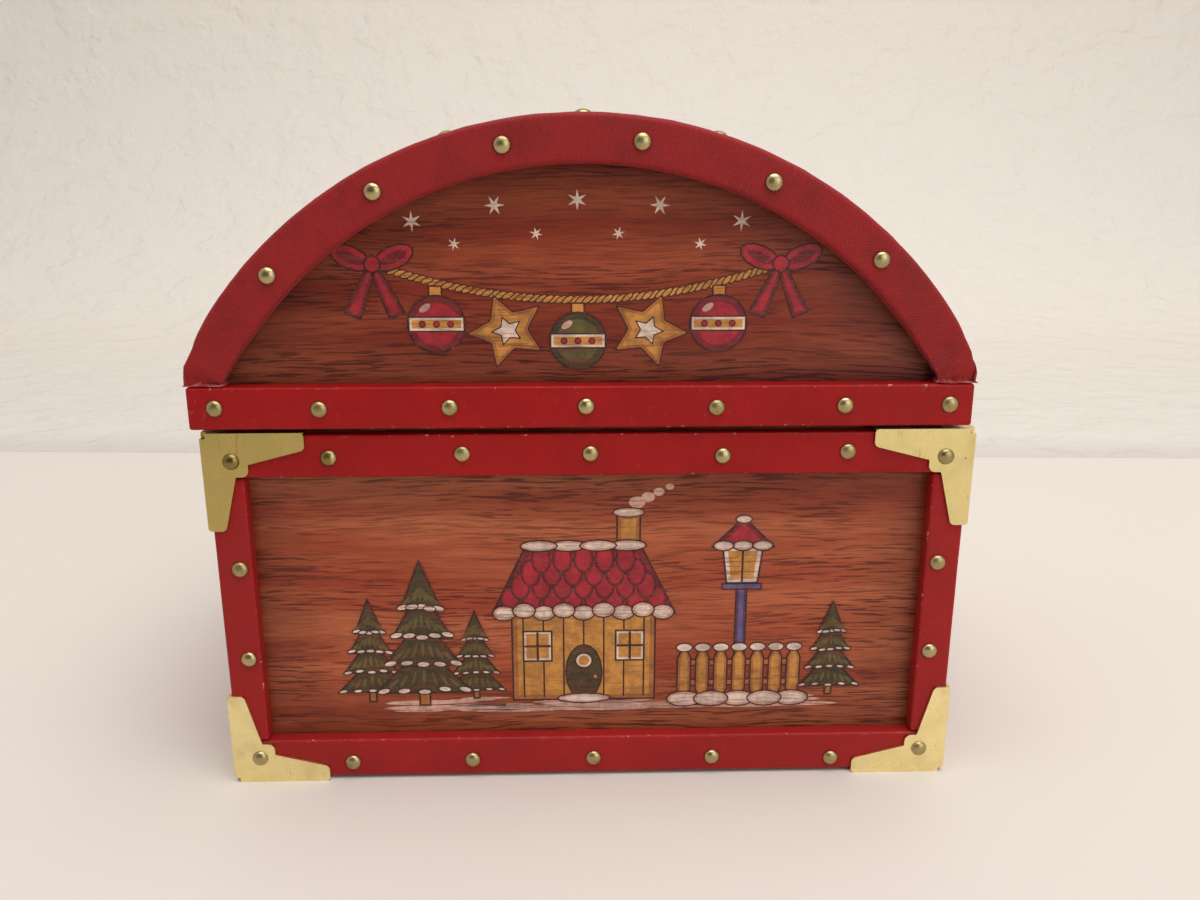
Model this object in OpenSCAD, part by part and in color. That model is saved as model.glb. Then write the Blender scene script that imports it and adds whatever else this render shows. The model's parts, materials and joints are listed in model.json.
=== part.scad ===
// Dome-topped wooden music box: a framed chest, a barrel lid and a wind-up cylinder movement.
// Millimetres. +Z is up, the front faces -Y, the origin is on the table under the chest's middle.

/* [Chest] */
// Width over the red strips
box_w = 178; // [160:1:220]
// Depth over the red strips
box_d = 120; // [112:1:150]
// Height of the strips' rim above the table
rim_z = 89.7; // [78:0.1:120]
// Thickness of the panels behind the strips
wall_t = 4; // [3:0.5:6]
// Thickness of the floor
floor_t = 5; // [3:0.5:8]
// Thickness of the lining felt
lining_t = 1; // [0.5:0.1:2]
// Height that the walls stand above the strips, to carry the lid
seat_rise = 0.7; // [0.3:0.1:1]

/* [Red strips] */
// Thickness of the strips on the chest
strip_t = 4.2; // [3:0.1:6]
// Height of the rails
rail_h = 10.3; // [7:0.1:14]
// Width of the stiles
stile_w = 8.4; // [7:0.1:14]

/* [Lid] */
// Shadow gap between the chest's and the lid's strips
lid_gap = 1.4; // [1.2:0.1:2.4]
// Play between the lid's walls and the chest's walls
seat_gap = 0.15; // [0.1:0.05:0.3]
// How far the lid's strips stand out over the chest's
lid_over = 1; // [0:0.1:1.5]
// Sideways set of the lid as it is hung
lid_shift = -1.7; // [-2:0.1:0]
// Height of the lid's front and back rails
lid_rail_h = 10; // [7:0.1:14]
// Rise of the arch above those rails
arch_rise = 59.4; // [50:0.1:75]
// Height of the arch's square-cut ends
arch_end_h = 4.8; // [4:0.1:7]
// Width of the cloth-covered arch band
arch_w = 11; // [8:0.1:14]
// Thickness of the bent dome skin
dome_t = 3; // [2:0.1:4]
// Thickness of the cloth bands along the dome's edges
band_t = 0.8; // [0.5:0.1:1.2]
// Width of those bands
band_w = 11.5; // [8:0.5:16]

/* [Nails and corners] */
// Radius of a nail's dome head
nail_head_r = 1.95; // [1.5:0.05:2.5]
// Height of the dome head
nail_head_h = 1.1; // [0.7:0.1:1.5]
// Radius of a nail's shank
nail_shank_r = 0.7; // [0.5:0.05:0.9]
// Spacing of the nails along straight strips
nail_pitch = 30.2; // [20:0.1:40]
// How far the bottom rails' nails are set below the rails' middle
bottom_nail_drop = 1.3; // [0:0.1:2]
// Spacing of the two nails in a stile
stile_nail_pitch = 23.4; // [15:0.1:40]
// Angle between the nails along the arch
arch_nail_angle = 17.6; // [14:0.1:22]
// Angle by which the arch's nails are set to one side
arch_nail_set = -1.6; // [-3:0.1:3]
// Unevenness of the nails, which are set by hand
nail_wander = 0.5; // [0:0.1:0.8]
// Sheet thickness of the brass corners, also the height of the felt foot
plate_t = 0.7; // [0.5:0.1:1]
// Length of a corner's arms
corner_arm = 23; // [18:0.1:26]
// Width of an arm at its root
corner_root = 6.8; // [5:0.1:8]
// Width of an arm at its tip
corner_tip = 3.4; // [2.5:0.1:5]
// Size of the square lobe at the inner corner
corner_lobe = 9.8; // [9:0.1:14]
// Distance of a corner's nail from both edges
corner_nail = 6; // [5:0.1:7]

/* [Hinges] */
// Length of a hinge
hinge_len = 28; // [20:1:34]
// Room between a hinge and the corner beside it
hinge_room = 6; // [3:0.1:10]
// Thickness of a hinge leaf
leaf_t = 0.55; // [0.4:0.05:0.58]
// Depth of a leaf inside the gap
leaf_w = 7; // [5:0.1:8]
// Radius of the knuckles
knuckle_r = 1.5; // [1.3:0.1:2]
// Radius of the hinge pin
hinge_pin_r = 0.75; // [0.6:0.05:0.9]
// Opening angle at which the stop tails meet
open_angle = 96; // [90:1:110]
// Length of the stop tails
tail_len = 3.8; // [3:0.1:6]
// Thickness of the stop tails
tail_t = 0.9; // [0.7:0.1:1.2]

/* [Movement] */
// Running play of shafts in their bearings
play = 0.05; // [0.02:0.01:0.08]
// Thickness of the bedplate
bed_t = 2.5; // [2:0.1:4]
// Radius of the winding arbor
arbor_r = 2.5; // [2:0.1:3]
// Radius of the spring housing
housing_r = 14; // [13:0.1:16]
// Length of the spring housing
housing_len = 13; // [11:0.5:16]
// Wall of the spring housing
housing_t = 1.2; // [1:0.1:2]
// Module of the drive wheel and the cylinder's pinion
drive_module = 0.6; // [0.5:0.01:0.62]
// Teeth of the drive wheel
drive_teeth = 44; // [40:2:44]
// Teeth of the cylinder's pinion
pinion_teeth = 22; // [20:2:24]
// Module of the cylinder wheel and the governor
gov_module = 0.5; // [0.45:0.01:0.55]
// Teeth of the cylinder wheel
cylinder_wheel_teeth = 36; // [32:2:36]
// Teeth of the governor's pinion
gov_pinion_teeth = 12; // [12:2:14]
// Teeth of the worm wheel
worm_wheel_teeth = 24; // [20:2:26]
// Share of a tooth's width that is left as play
tooth_play = 0.16; // [0.1:0.01:0.25]
// Radius of the music cylinder
cylinder_r = 6.5; // [6:0.1:6.8]
// Height of the pins on the cylinder
pin_h = 0.6; // [0.4:0.1:0.8]
// Number of notes on the comb
notes = 18; // [12:1:20]
// Spacing of the comb's teeth
note_pitch = 1.05; // [0.9:0.05:1.1]
// Length of the comb's teeth
comb_tooth_len = 14.4; // [12:0.1:16]
// Depth of the comb's solid back
comb_back = 9.5; // [8:0.1:10]
// Height of the clear cover above the table
cover_z = 48; // [47:0.5:60]
// Thickness of the clear cover
cover_t = 2; // [1.5:0.1:3]
// Thickness of the partition
partition_t = 3; // [2:0.1:5]

/* [Key] */
// Radius of the key's socket
key_r = 3.6; // [3.2:0.1:4.5]
// Length of the key's socket
key_len = 9; // [7:0.1:12]
// Radius of a key wing
key_wing_r = 6.2; // [5:0.1:6.5]
// Thickness of the key's wings
key_wing_t = 2; // [1.5:0.1:3]

/* [Hidden] */
$fn = 48;
eps = 0.01;
// How far a cutting shape runs past what it cuts
over = 1;
half_turn = 180;

// Chest
felt_t = plate_t;
half_w = box_w / 2;
half_d = box_d / 2;
wall_x = half_w - strip_t;
wall_y = half_d - strip_t;
in_x = wall_x - wall_t;
in_y = wall_y - wall_t;
floor_z = felt_t + floor_t;
seat_z = rim_z + seat_rise;
felt_margin = 1;
lining_margin = 0.5;

// Lid
lid_bottom = rim_z + lid_gap;
lid_wall_z = seat_z + seat_gap;
lid_half_w = half_w + lid_over;
lid_half_d = half_d + lid_over;
lid_strip_t = strip_t + lid_over;
lid_rail_z = lid_bottom + lid_rail_h;
arch_half = lid_half_w + band_t;
arch_end_z = lid_rail_z + arch_end_h;
arch_sag = arch_rise - arch_end_h;
arch_r = (arch_half * arch_half + arch_sag * arch_sag) / (2 * arch_sag);
arch_z = lid_rail_z + arch_rise - arch_r;
dome_r = arch_r - band_t;
side_rail_drop = 1.7;
side_rail_z = arch_end_z - side_rail_drop;

// Nails
nail_ball_r = (nail_head_r * nail_head_r + nail_head_h * nail_head_h) / (2 * nail_head_h);
nail_tip_cover = 0.4;
nail_edge = 5.4;
nail_arm_room = 3;
front_nails = floor((half_w - corner_arm - nail_arm_room) / nail_pitch);
side_nails = floor((half_d - corner_arm - nail_arm_room) / nail_pitch);
arch_nail_count = 6;
band_nail_count = 7;
hole_play = 0.15;

// Hinges
hinge_x = half_w - corner_arm - hinge_room - hinge_len / 2;
hinge_z = rim_z + lid_gap / 2;
hinge_play = 0.15;
hinge_y = lid_half_d + knuckle_r + hinge_play;
knuckle_len = hinge_len / 3;
knuckle_gap = 0.2;
tail_face = open_angle / 2;
hinge_screw_r = 1;
hinge_screw_head_r = 1.7;
hinge_screw_inset = 5;
hinge_screw_x = hinge_len / 2 - hinge_screw_inset;
hinge_screw_y = wall_y + strip_t / 2;
// The screws end short of the nails that cross the rails
screw_nail_room = 0.3;
hinge_screw_len = leaf_t + min(rail_h, lid_rail_h) / 2 - nail_shank_r - nail_wander - screw_nail_room;

// Movement stations: heights, then places along X from the right wall, then along Y from the back wall
bed_z = floor_z + bed_t;
wheel_clear = 1.2;
tooth_tip = 0.8;
tooth_root = 1.15;
drive_pitch_r = drive_teeth * drive_module / 2;
pinion_pitch_r = pinion_teeth * drive_module / 2;
cylinder_wheel_pitch_r = cylinder_wheel_teeth * gov_module / 2;
gov_pinion_pitch_r = gov_pinion_teeth * gov_module / 2;
worm_wheel_pitch_r = worm_wheel_teeth * gov_module / 2;
drive_tip_r = drive_pitch_r + tooth_tip * drive_module;
cylinder_wheel_tip_r = cylinder_wheel_pitch_r + tooth_tip * gov_module;
axis_z = bed_z + max(drive_tip_r, housing_r) + wheel_clear;
wall_room = 2.8;
key_x = in_x - housing_r - wall_room;
cylinder_x = key_x - drive_pitch_r - pinion_pitch_r;
gov_x = cylinder_x + cylinder_wheel_pitch_r + gov_pinion_pitch_r;
worm_pitch_r = 1.5;
worm_tip_r = 1.7;
worm_core_r = 0.95;
worm_lead = PI * gov_module;
worm_turns = 4;
worm_thread_root = 0.5;
worm_thread_tip = 0.3;
worm_x = gov_x + worm_wheel_pitch_r + worm_pitch_r;
housing_gap = 1;
housing_back = in_y - housing_gap;
housing_front = housing_back - housing_len;
spring_cover_t = 1.2;
step_gap = 1.2;
drive_t = 2.5;
drive_y = housing_front - spring_cover_t - step_gap - drive_t;
pinion_lap = 0.3;
cylinder_spare = 1.5;
cylinder_len = notes * note_pitch + cylinder_spare;
cylinder_back = drive_y - pinion_lap - step_gap;
cylinder_front = cylinder_back - cylinder_len;
cylinder_wheel_t = 1.7;
cylinder_wheel_gap = 0.5;
cylinder_wheel_y = cylinder_front - cylinder_wheel_gap - cylinder_wheel_t;
plate_gap = 1;
front_plate_t = 1.6;
front_plate_y = cylinder_wheel_y - plate_gap - front_plate_t;
worm_wheel_t = 1;
worm_wheel_y = front_plate_y - plate_gap - worm_wheel_t;
worm_y = worm_wheel_y + worm_wheel_t / 2;
post_t = 2;
front_post_gap = 2;
front_post_y = worm_wheel_y - front_post_gap - post_t;
rear_post_lead = 0.8;
rear_post_y = housing_front - rear_post_lead;
rear_post_t = 3;
cylinder_shaft_r = 1.5;
gov_shaft_r = 0.8;
spindle_r = 0.7;
hub_r = 4;
press_play = 0.02;
bed_front_margin = 1.6;
bed_left_margin = 1;
bed_right_margin = 0.5;
bed_front = front_post_y - bed_front_margin;
bed_left = cylinder_x - cylinder_wheel_tip_r - bed_left_margin;
bed_right = key_x + housing_r + bed_right_margin;
partition_gap = 1.5;
partition_drop = 4;
partition_x = bed_left - partition_gap - partition_t;
partition_top = rim_z - partition_drop;

// Comb
comb_clear = 0.2;
comb_tip_x = cylinder_x + cylinder_r + pin_h + comb_clear;
comb_root_x = comb_tip_x + comb_tooth_len;
comb_t = 1.4;
comb_tooth_t = 0.7;
comb_slot = 0.25;
comb_inset = 0.5;
comb_y = cylinder_front + comb_inset;
comb_w = notes * note_pitch;

// Governor bridge, fly and stop wire
fly_gap = 3.5;
fly_z = axis_z + worm_turns / 2 * worm_lead + fly_gap;
fly_h = 7;
fly_r = 5;
fly_clear = 1.8;
bridge_w = 2.4;
bridge_post_x = worm_x + fly_r + fly_clear;
bridge_foot_l = 4;
bridge_foot_t = 2;
bridge_foot_flare = 1;
arm_gap = 2.3;
arm_t = 2;
arm_overhang = 1.8;
lower_arm_z = bed_z + arm_gap;
fly_hub_r = 1.6;
fly_wing_t = 0.5;
fly_wing_inset = 0.6;
brake_r = 3.4;
brake_t = 0.8;
brake_top = fly_z + fly_h + brake_t;
stop_clear = 0.3;
stop_lift = 3;
wire_r = 0.8;
wire_inset = 1.4;
wire_set = 2.7;
wire_x = in_x - wire_inset;
wire_y = worm_y - wire_set;
wire_foot_z = brake_top + stop_clear + wire_r;
wire_top = lid_wall_z - stop_clear;
arm_clear = 0.6;
upper_arm_z = brake_top + stop_lift + arm_clear;
guide_w = 4;
guide_h = 2.6;
guide_wall = 1;
lower_guide_drop = 1.2;
upper_guide_drop = 5;
lower_guide_z = cover_z - lower_guide_drop - guide_h;
upper_guide_z = partition_top - upper_guide_drop;
cleat_w = 4;
fit_gap = 0.3;

// Key
key_gap = 0.6;
key_front = wall_y + key_gap;
key_stud_r = 1.9;
key_wing_room = 1.2;
key_wing_y = half_d + nail_head_h + plate_t + key_wing_room;
key_wing_offset = 6.8;
key_hole_r = 2.6;
key_passage_r = 4.5;

// Colours
red_paint = [0.57, 0.12, 0.11];
red_cloth = [0.55, 0.11, 0.11];
veneer = [0.42, 0.19, 0.14];
pale_wood = [0.72, 0.55, 0.36];
brass = [0.78, 0.68, 0.40];
steel = [0.66, 0.67, 0.69];
cast_metal = [0.52, 0.52, 0.54];
felt_red = [0.45, 0.06, 0.08];
black = [0.10, 0.10, 0.11];
clear = [0.80, 0.88, 0.92, 0.35];

// A box between two corners
module block(low, high) {
    translate(low) cube(high - low);
}

// Moves a shape that is drawn along Z so that it runs along Y
module along_y(x, y, z) {
    translate([x, y, z]) rotate([-90, 0, 0]) children();
}

// Every combination of left, right and front, back
module each_corner() {
    for (sx = [-1, 1], sy = [-1, 1])
        scale_signs(sx, sy) children();
}

// Mirrors a shape by the signs of X and Y
module scale_signs(sx, sy) {
    mirror([sx < 0 ? 1 : 0, 0, 0]) mirror([0, sy < 0 ? 1 : 0, 0]) children();
}

// Arc that rounds the corner b of the path a, b, c
function corner_arc(a, b, c, r, steps = 5) =
    let (
        u = (a - b) / norm(a - b),
        v = (c - b) / norm(c - b),
        half = acos(u * v) / 2,
        middle = b + (u + v) / norm(u + v) * r / sin(half),
        first = b + u * r / tan(half) - middle,
        last = b + v * r / tan(half) - middle,
        start = atan2(first.y, first.x),
        turn = (atan2(last.y, last.x) - start + 3 * half_turn) % (2 * half_turn) - half_turn
    )
    [for (i = [0 : steps]) middle + r * [cos(start + turn * i / steps), sin(start + turn * i / steps)]];

// Outline whose corners are [x, y, radius]
function rounded_outline(corners) =
    let (n = len(corners), p = [for (c = corners) [c.x, c.y]])
    [for (i = [0 : n - 1])
        each corners[i].z > 0
            ? corner_arc(p[(i + n - 1) % n], p[i], p[(i + 1) % n], corners[i].z)
            : [p[i]]];

// Hand-set unevenness: one value for each nail of a row
function wander(count, seed) = rands(-nail_wander, nail_wander, count, seed);

// Places of a straight row of nails about its middle
function nail_row(each_side) = [for (i = [-each_side : each_side]) i * nail_pitch];

// Chest panels and floor
module wall_panel(low_x, high_x, low_y, high_y, top) {
    block([low_x, low_y, felt_t], [high_x, high_y, top]);
}

module base_front_panel() {
    color(veneer) wall_panel(-wall_x, wall_x, -wall_y, -in_y, seat_z);
}

module base_back_panel() {
    color(veneer) difference() {
        wall_panel(-wall_x, wall_x, in_y, wall_y, rim_z);
        along_y(key_x, in_y - over, axis_z) cylinder(r = key_passage_r, h = wall_t + 2 * over);
    }
}

module base_left_panel() {
    color(veneer) wall_panel(-wall_x, -in_x, -in_y, in_y, seat_z);
}

module base_right_panel() {
    color(veneer) wall_panel(in_x, wall_x, -in_y, in_y, seat_z);
}

module base_floor() {
    color(pale_wood) block([-in_x, -in_y, felt_t], [in_x, in_y, floor_z]);
}

module base_felt() {
    color(felt_red) block(
        [felt_margin - wall_x, felt_margin - wall_y, 0],
        [wall_x - felt_margin, wall_y - felt_margin, felt_t]);
}

module keepsake_lining() {
    color(felt_red) block(
        [lining_margin - in_x, lining_margin - in_y, floor_z],
        [partition_x - lining_margin, in_y - lining_margin, floor_z + lining_t]);
}

// Red strips: full-length rails at the front and back, the side rails between them
module long_rail(side, low_z) {
    color(red_paint) scale_signs(1, side)
        block([-half_w, wall_y, low_z], [half_w, half_d, low_z + rail_h]);
}

module long_stiles(side) {
    color(red_paint) for (sx = [-1, 1]) scale_signs(sx, side)
        block([half_w - stile_w, wall_y, felt_t + rail_h], [half_w, half_d, rim_z - rail_h]);
}

module short_rail(side, low_z) {
    color(red_paint) scale_signs(side, 1)
        block([wall_x, -wall_y, low_z], [half_w, wall_y, low_z + rail_h]);
}

module short_stiles(side) {
    color(red_paint) for (sy = [-1, 1]) scale_signs(side, sy)
        block([wall_x, wall_y - stile_w, felt_t + rail_h], [half_w, wall_y, rim_z - rail_h]);
}

module front_top_rail() { long_rail(-1, rim_z - rail_h); }
module front_bottom_rail() { long_rail(-1, felt_t); }
module front_stiles() { long_stiles(-1); }
module back_top_rail() { long_rail(1, rim_z - rail_h); }
module back_bottom_rail() { long_rail(1, felt_t); }
module back_stiles() { long_stiles(1); }
module left_top_rail() { short_rail(-1, rim_z - rail_h); }
module left_bottom_rail() { short_rail(-1, felt_t); }
module left_stiles() { short_stiles(-1); }
module right_top_rail() { short_rail(1, rim_z - rail_h); }
module right_bottom_rail() { short_rail(1, felt_t); }
module right_stiles() { short_stiles(1); }

// Brass corners: one face of a corner, drawn from the wood's corner inwards
end_round = 0.9;
tip_round = 1.3;
root_round = 0.3;
lobe_round = 1.6;
flange_round = 0.6;
corner_face = [
    [-plate_t, -plate_t, 0], [corner_arm, -plate_t, end_round], [corner_arm, corner_tip, tip_round],
    [corner_lobe, corner_root, root_round], [corner_lobe, corner_lobe, lobe_round],
    [corner_root, corner_lobe, root_round], [corner_tip, corner_arm, tip_round],
    [-plate_t, corner_arm, end_round]
];
flange_play = 0.2;
corner_flange = [
    [-plate_t, -plate_t, 0], [corner_arm, -plate_t, end_round], [corner_arm, corner_tip, tip_round],
    [strip_t - flange_play, strip_t - flange_play, flange_round],
    [corner_tip, corner_arm, tip_round], [-plate_t, corner_arm, end_round]
];
corner_notch = 0.6;

module corner_side() {
    linear_extrude(plate_t) difference() {
        polygon(rounded_outline(corner_face));
        translate([corner_nail, corner_nail]) circle(nail_shank_r + hole_play);
    }
}

// A corner whose wood fills X < 0, Y < 0, Z < 0
module corner_bracket() {
    difference() {
        union() {
            rotate([90, 0, 180]) mirror([0, 1, 0]) corner_side();
            mirror([1, -1, 0]) rotate([90, 0, 180]) mirror([0, 1, 0]) corner_side();
            rotate([0, 0, 180]) linear_extrude(plate_t) polygon(rounded_outline(corner_flange));
        }
        block(-corner_notch * [1, 1, 1], 2 * plate_t * [1, 1, 1]);
    }
}

module top_corner_brackets() {
    color(brass) each_corner() translate([half_w, half_d, rim_z]) corner_bracket();
}

module bottom_corner_brackets() {
    color(brass) each_corner() translate([half_w, half_d, felt_t]) mirror([0, 0, 1]) corner_bracket();
}

// A dome-head nail that stands on the plane Z = 0
module nail(shank) {
    intersection() {
        translate([0, 0, nail_head_h - nail_ball_r]) sphere(r = nail_ball_r);
        cylinder(r = nail_head_r + over, h = nail_head_h + over);
    }
    translate([0, 0, -shank]) cylinder(r = nail_shank_r, h = shank + eps);
}

module nail_on_front(x, z, y, shank) {
    translate([x, -y, z]) rotate([90, 0, 0]) nail(shank);
}

module nail_on_right(y, z, x, shank) {
    translate([x, y, z]) rotate([0, 90, 0]) nail(shank);
}

base_shank = strip_t - nail_tip_cover;
top_nail_z = rim_z - rail_h / 2;
bottom_nail_z = felt_t + rail_h / 2 - bottom_nail_drop;
stile_mid = (rim_z + felt_t) / 2;

// Nails of the front strips and corners; the back has the same
module front_base_nails(seed) {
    n = 2 * front_nails + 1;
    along = wander(4 * n, seed);
    row = nail_row(front_nails);
    for (i = [0 : n - 1]) {
        nail_on_front(row[i] + along[i], top_nail_z + along[i + n], half_d, base_shank);
        nail_on_front(row[i] + along[i + 2 * n], bottom_nail_z + along[i + 3 * n], half_d, base_shank);
    }
    for (sx = [-1, 1]) {
        for (sz = [-1, 1])
            nail_on_front(sx * (half_w - nail_edge), stile_mid + sz * stile_nail_pitch / 2,
                half_d, base_shank);
        for (z = [rim_z - corner_nail, felt_t + corner_nail])
            nail_on_front(sx * (half_w - corner_nail), z, half_d + plate_t, base_shank + plate_t);
    }
}

// Nails of the right strips and corners; the left has the same
module right_base_nails(seed) {
    n = 2 * side_nails + 1;
    along = wander(2 * n, seed);
    row = nail_row(side_nails);
    for (i = [0 : n - 1])
        for (z = [top_nail_z, bottom_nail_z])
            nail_on_right(row[i] + along[i], z + along[i + n], half_w, base_shank);
    for (sy = [-1, 1]) {
        for (sz = [-1, 1])
            nail_on_right(sy * (wall_y - stile_w / 2), stile_mid + sz * stile_nail_pitch / 2,
                half_w, base_shank);
        for (z = [rim_z - corner_nail, felt_t + corner_nail])
            nail_on_right(sy * (half_d - corner_nail), z, half_w + plate_t, base_shank + plate_t);
    }
}

module base_nails() {
    color(brass) {
        front_base_nails(11);
        scale_signs(1, -1) front_base_nails(12);
        right_base_nails(13);
        scale_signs(-1, 1) right_base_nails(14);
    }
}

// Lid: a shape drawn in the XZ plane of the arch, from y = low to y = high
module lid_slice(low, high) {
    translate([lid_shift, high, 0]) rotate([90, 0, 0]) linear_extrude(high - low) children();
}

// The part of a disc about the arch's centre that lies above a height and inside a half width
module arch_disc(r, low_z, half) {
    intersection() {
        translate([0, arch_z]) circle(r, $fn = 128);
        translate([-half, low_z]) square([2 * half, arch_z + r - low_z + over]);
    }
}

module arch_ring(r_out, r_in, low_z, half) {
    difference() {
        arch_disc(r_out, low_z, half);
        translate([0, arch_z]) circle(r_in, $fn = 128);
    }
}

module lid_front_panel() {
    color(veneer) lid_slice(-wall_y, -in_y) arch_disc(dome_r - dome_t, lid_wall_z, wall_x);
}

module lid_back_panel() {
    color(veneer) lid_slice(in_y, wall_y) arch_disc(dome_r - dome_t, lid_bottom, wall_x);
}

module lid_side_walls() {
    color(veneer) translate([lid_shift, 0, 0]) for (sx = [-1, 1]) scale_signs(sx, 1)
        block([in_x, -in_y, lid_wall_z], [wall_x, in_y, side_rail_z]);
}

module lid_dome() {
    color(veneer) lid_slice(-wall_y, wall_y)
        arch_ring(dome_r, dome_r - dome_t, side_rail_z, lid_half_w);
}

module lid_long_rail(side) {
    color(red_paint) translate([lid_shift, 0, 0]) scale_signs(1, side)
        block([-lid_half_w, wall_y, lid_bottom], [lid_half_w, lid_half_d, lid_rail_z]);
}

module lid_front_rail() { lid_long_rail(-1); }
module lid_back_rail() { lid_long_rail(1); }

module lid_side_rails() {
    color(red_paint) translate([lid_shift, 0, 0]) for (sx = [-1, 1]) scale_signs(sx, 1)
        block([wall_x, -wall_y, lid_bottom], [lid_half_w, wall_y, side_rail_z]);
}

module lid_arch(side) {
    color(red_cloth) scale_signs(1, side) lid_slice(wall_y, lid_half_d)
        arch_ring(arch_r, arch_r - arch_w, lid_rail_z, arch_half);
}

module lid_front_arch() { lid_arch(-1); }
module lid_back_arch() { lid_arch(1); }

module lid_top_bands() {
    color(red_cloth) for (side = [-1, 1]) scale_signs(1, side) lid_slice(wall_y - band_w, wall_y)
        arch_ring(arch_r, dome_r, arch_end_z, arch_half);
}

lid_shank = lid_strip_t - nail_tip_cover;
band_shank = band_t + dome_t - nail_tip_cover;

// Moves a nail out along the arch: angle from the top, radius, and height drawn along Z
module on_arch(angle, r) {
    translate([0, 0, arch_z]) rotate([0, angle, 0]) translate([0, 0, r]) children();
}

// Nails of the lid's front: rail, arch face and band; the back has the same
module front_lid_nails(seed) {
    row = concat([corner_nail - lid_half_w], nail_row(front_nails), [lid_half_w - corner_nail]);
    n = len(row);
    along = wander(n, seed);
    for (i = [0 : n - 1])
        nail_on_front(row[i] + along[i], lid_bottom + lid_rail_h / 2 + along[n - 1 - i] / 2,
            lid_half_d, lid_shank);
    turn = wander(arch_nail_count, seed + 1);
    for (i = [0 : arch_nail_count - 1])
        on_arch((i - (arch_nail_count - 1) / 2) * arch_nail_angle + arch_nail_set + turn[i],
            arch_r - arch_w / 2)
            translate([0, -lid_half_d, 0]) rotate([90, 0, 0]) nail(lid_shank);
    lean = wander(band_nail_count, seed + 2);
    for (i = [0 : band_nail_count - 1])
        on_arch((i - (band_nail_count - 1) / 2) * arch_nail_angle + lean[i], arch_r)
            translate([0, band_w / 2 - wall_y, 0]) nail(band_shank);
}

module lid_nails() {
    side_shift = wander(2 * side_nails + 1, 33);
    color(brass) translate([lid_shift, 0, 0]) {
        front_lid_nails(21);
        scale_signs(1, -1) front_lid_nails(27);
        for (sx = [-1, 1], i = [0 : 2 * side_nails])
            scale_signs(sx, 1) nail_on_right(nail_row(side_nails)[i] + side_shift[i],
                (lid_bottom + side_rail_z) / 2, lid_half_w, lid_shank);
    }
}

// Stop hinges: a leaf drawn along X about its middle, with the pin's axis at y = 0, z = 0
leaf_inner = wall_y + strip_t - leaf_w - hinge_y;
leaf_stop = -knuckle_r - knuckle_gap;
tail_root = 0.3;
neck_inset = 0.1;

// Lower face of a leaf and of its tail, for the lid's leaf (up = 1) or the base's (up = -1)
function leaf_low(up) = up > 0 ? lid_gap / 2 - leaf_t : -lid_gap / 2;
function tail_low(up) = up > 0 ? 0 : -tail_t;

// Section of a leaf across the pin, in Y and Z: plate on the outer side of the gap, knuckle and tail neck
module leaf_section(up) {
    neck_start = hinge_pin_r + tail_root;
    neck_end = knuckle_r + knuckle_gap + tail_root;
    difference() {
        union() {
            translate([leaf_inner, leaf_low(up)]) square([-leaf_inner, leaf_t]);
            circle(knuckle_r);
            rotate(up * tail_face) translate([neck_start, tail_low(up) + neck_inset])
                square([neck_end - neck_start, tail_t - 2 * neck_inset]);
        }
        circle(hinge_pin_r + play);
    }
}

// Slab behind the knuckles whose inner face lies on a plane through the pin
module stop_tail(up) {
    reach = hinge_len / 2 - neck_inset;
    rotate([up * tail_face, 0, 0])
        block([-reach, knuckle_r + knuckle_gap, tail_low(up)],
            [reach, knuckle_r + tail_len, tail_low(up) + tail_t]);
}

// One leaf, whose knuckle is cut away in the spans in X that the other leaf's knuckles take
module hinge_leaf(cut_spans, up) {
    reach = knuckle_r + tail_len;
    difference() {
        union() {
            difference() {
                rotate([90, 0, 90]) linear_extrude(hinge_len, center = true) leaf_section(up);
                for (s = cut_spans) block([s[0], leaf_stop, -reach], [s[1], reach, reach]);
            }
            stop_tail(up);
        }
        for (sx = [-1, 1])
            translate([sx * hinge_screw_x, hinge_screw_y - hinge_y, leaf_low(up)]) hinge_sink(up);
    }
}

// Countersunk hole through a leaf
module hinge_sink(up) {
    translate([0, 0, up > 0 ? 0 : -eps])
        cylinder(r1 = up > 0 ? hinge_screw_head_r : hinge_screw_r + hole_play,
            r2 = up > 0 ? hinge_screw_r + hole_play : hinge_screw_head_r, h = leaf_t + eps);
}

module both_hinges() {
    for (sx = [-1, 1]) translate([sx * hinge_x, hinge_y, hinge_z]) children();
}

module hinge_base_leaves() {
    middle = knuckle_len / 2 + knuckle_gap;
    color(brass) both_hinges() hinge_leaf([[-middle, middle]], -1);
}

module hinge_lid_leaves() {
    color(brass) both_hinges()
        hinge_leaf([[-hinge_len, -knuckle_len / 2], [knuckle_len / 2, hinge_len]], 1);
}

module hinge_pins() {
    color(steel) both_hinges() rotate([0, 90, 0])
        cylinder(r = hinge_pin_r, h = hinge_len, center = true);
}

// Countersunk screw whose head's top is at z = 0
module hinge_screw() {
    head_h = leaf_t - hole_play;
    translate([0, 0, -head_h])
        cylinder(r1 = hinge_screw_r, r2 = hinge_screw_head_r - hole_play, h = head_h);
    translate([0, 0, -hinge_screw_len]) cylinder(r = hinge_screw_r, h = hinge_screw_len - head_h + eps);
}

module hinge_base_screws() {
    color(brass) for (sx = [-1, 1], s = [-1, 1])
        translate([sx * hinge_x + s * hinge_screw_x, hinge_screw_y, rim_z + leaf_t]) hinge_screw();
}

module hinge_lid_screws() {
    color(brass) for (sx = [-1, 1], s = [-1, 1])
        translate([sx * hinge_x + s * hinge_screw_x, hinge_screw_y, lid_bottom - leaf_t])
            mirror([0, 0, 1]) hinge_screw();
}

// Movement compartment: partition, cleats and clear cover
module partition_wall() {
    color(veneer) block([partition_x, -in_y, floor_z], [partition_x + partition_t, in_y, partition_top]);
}

wire_slot = guide_w / 2 + guide_wall;

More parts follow.
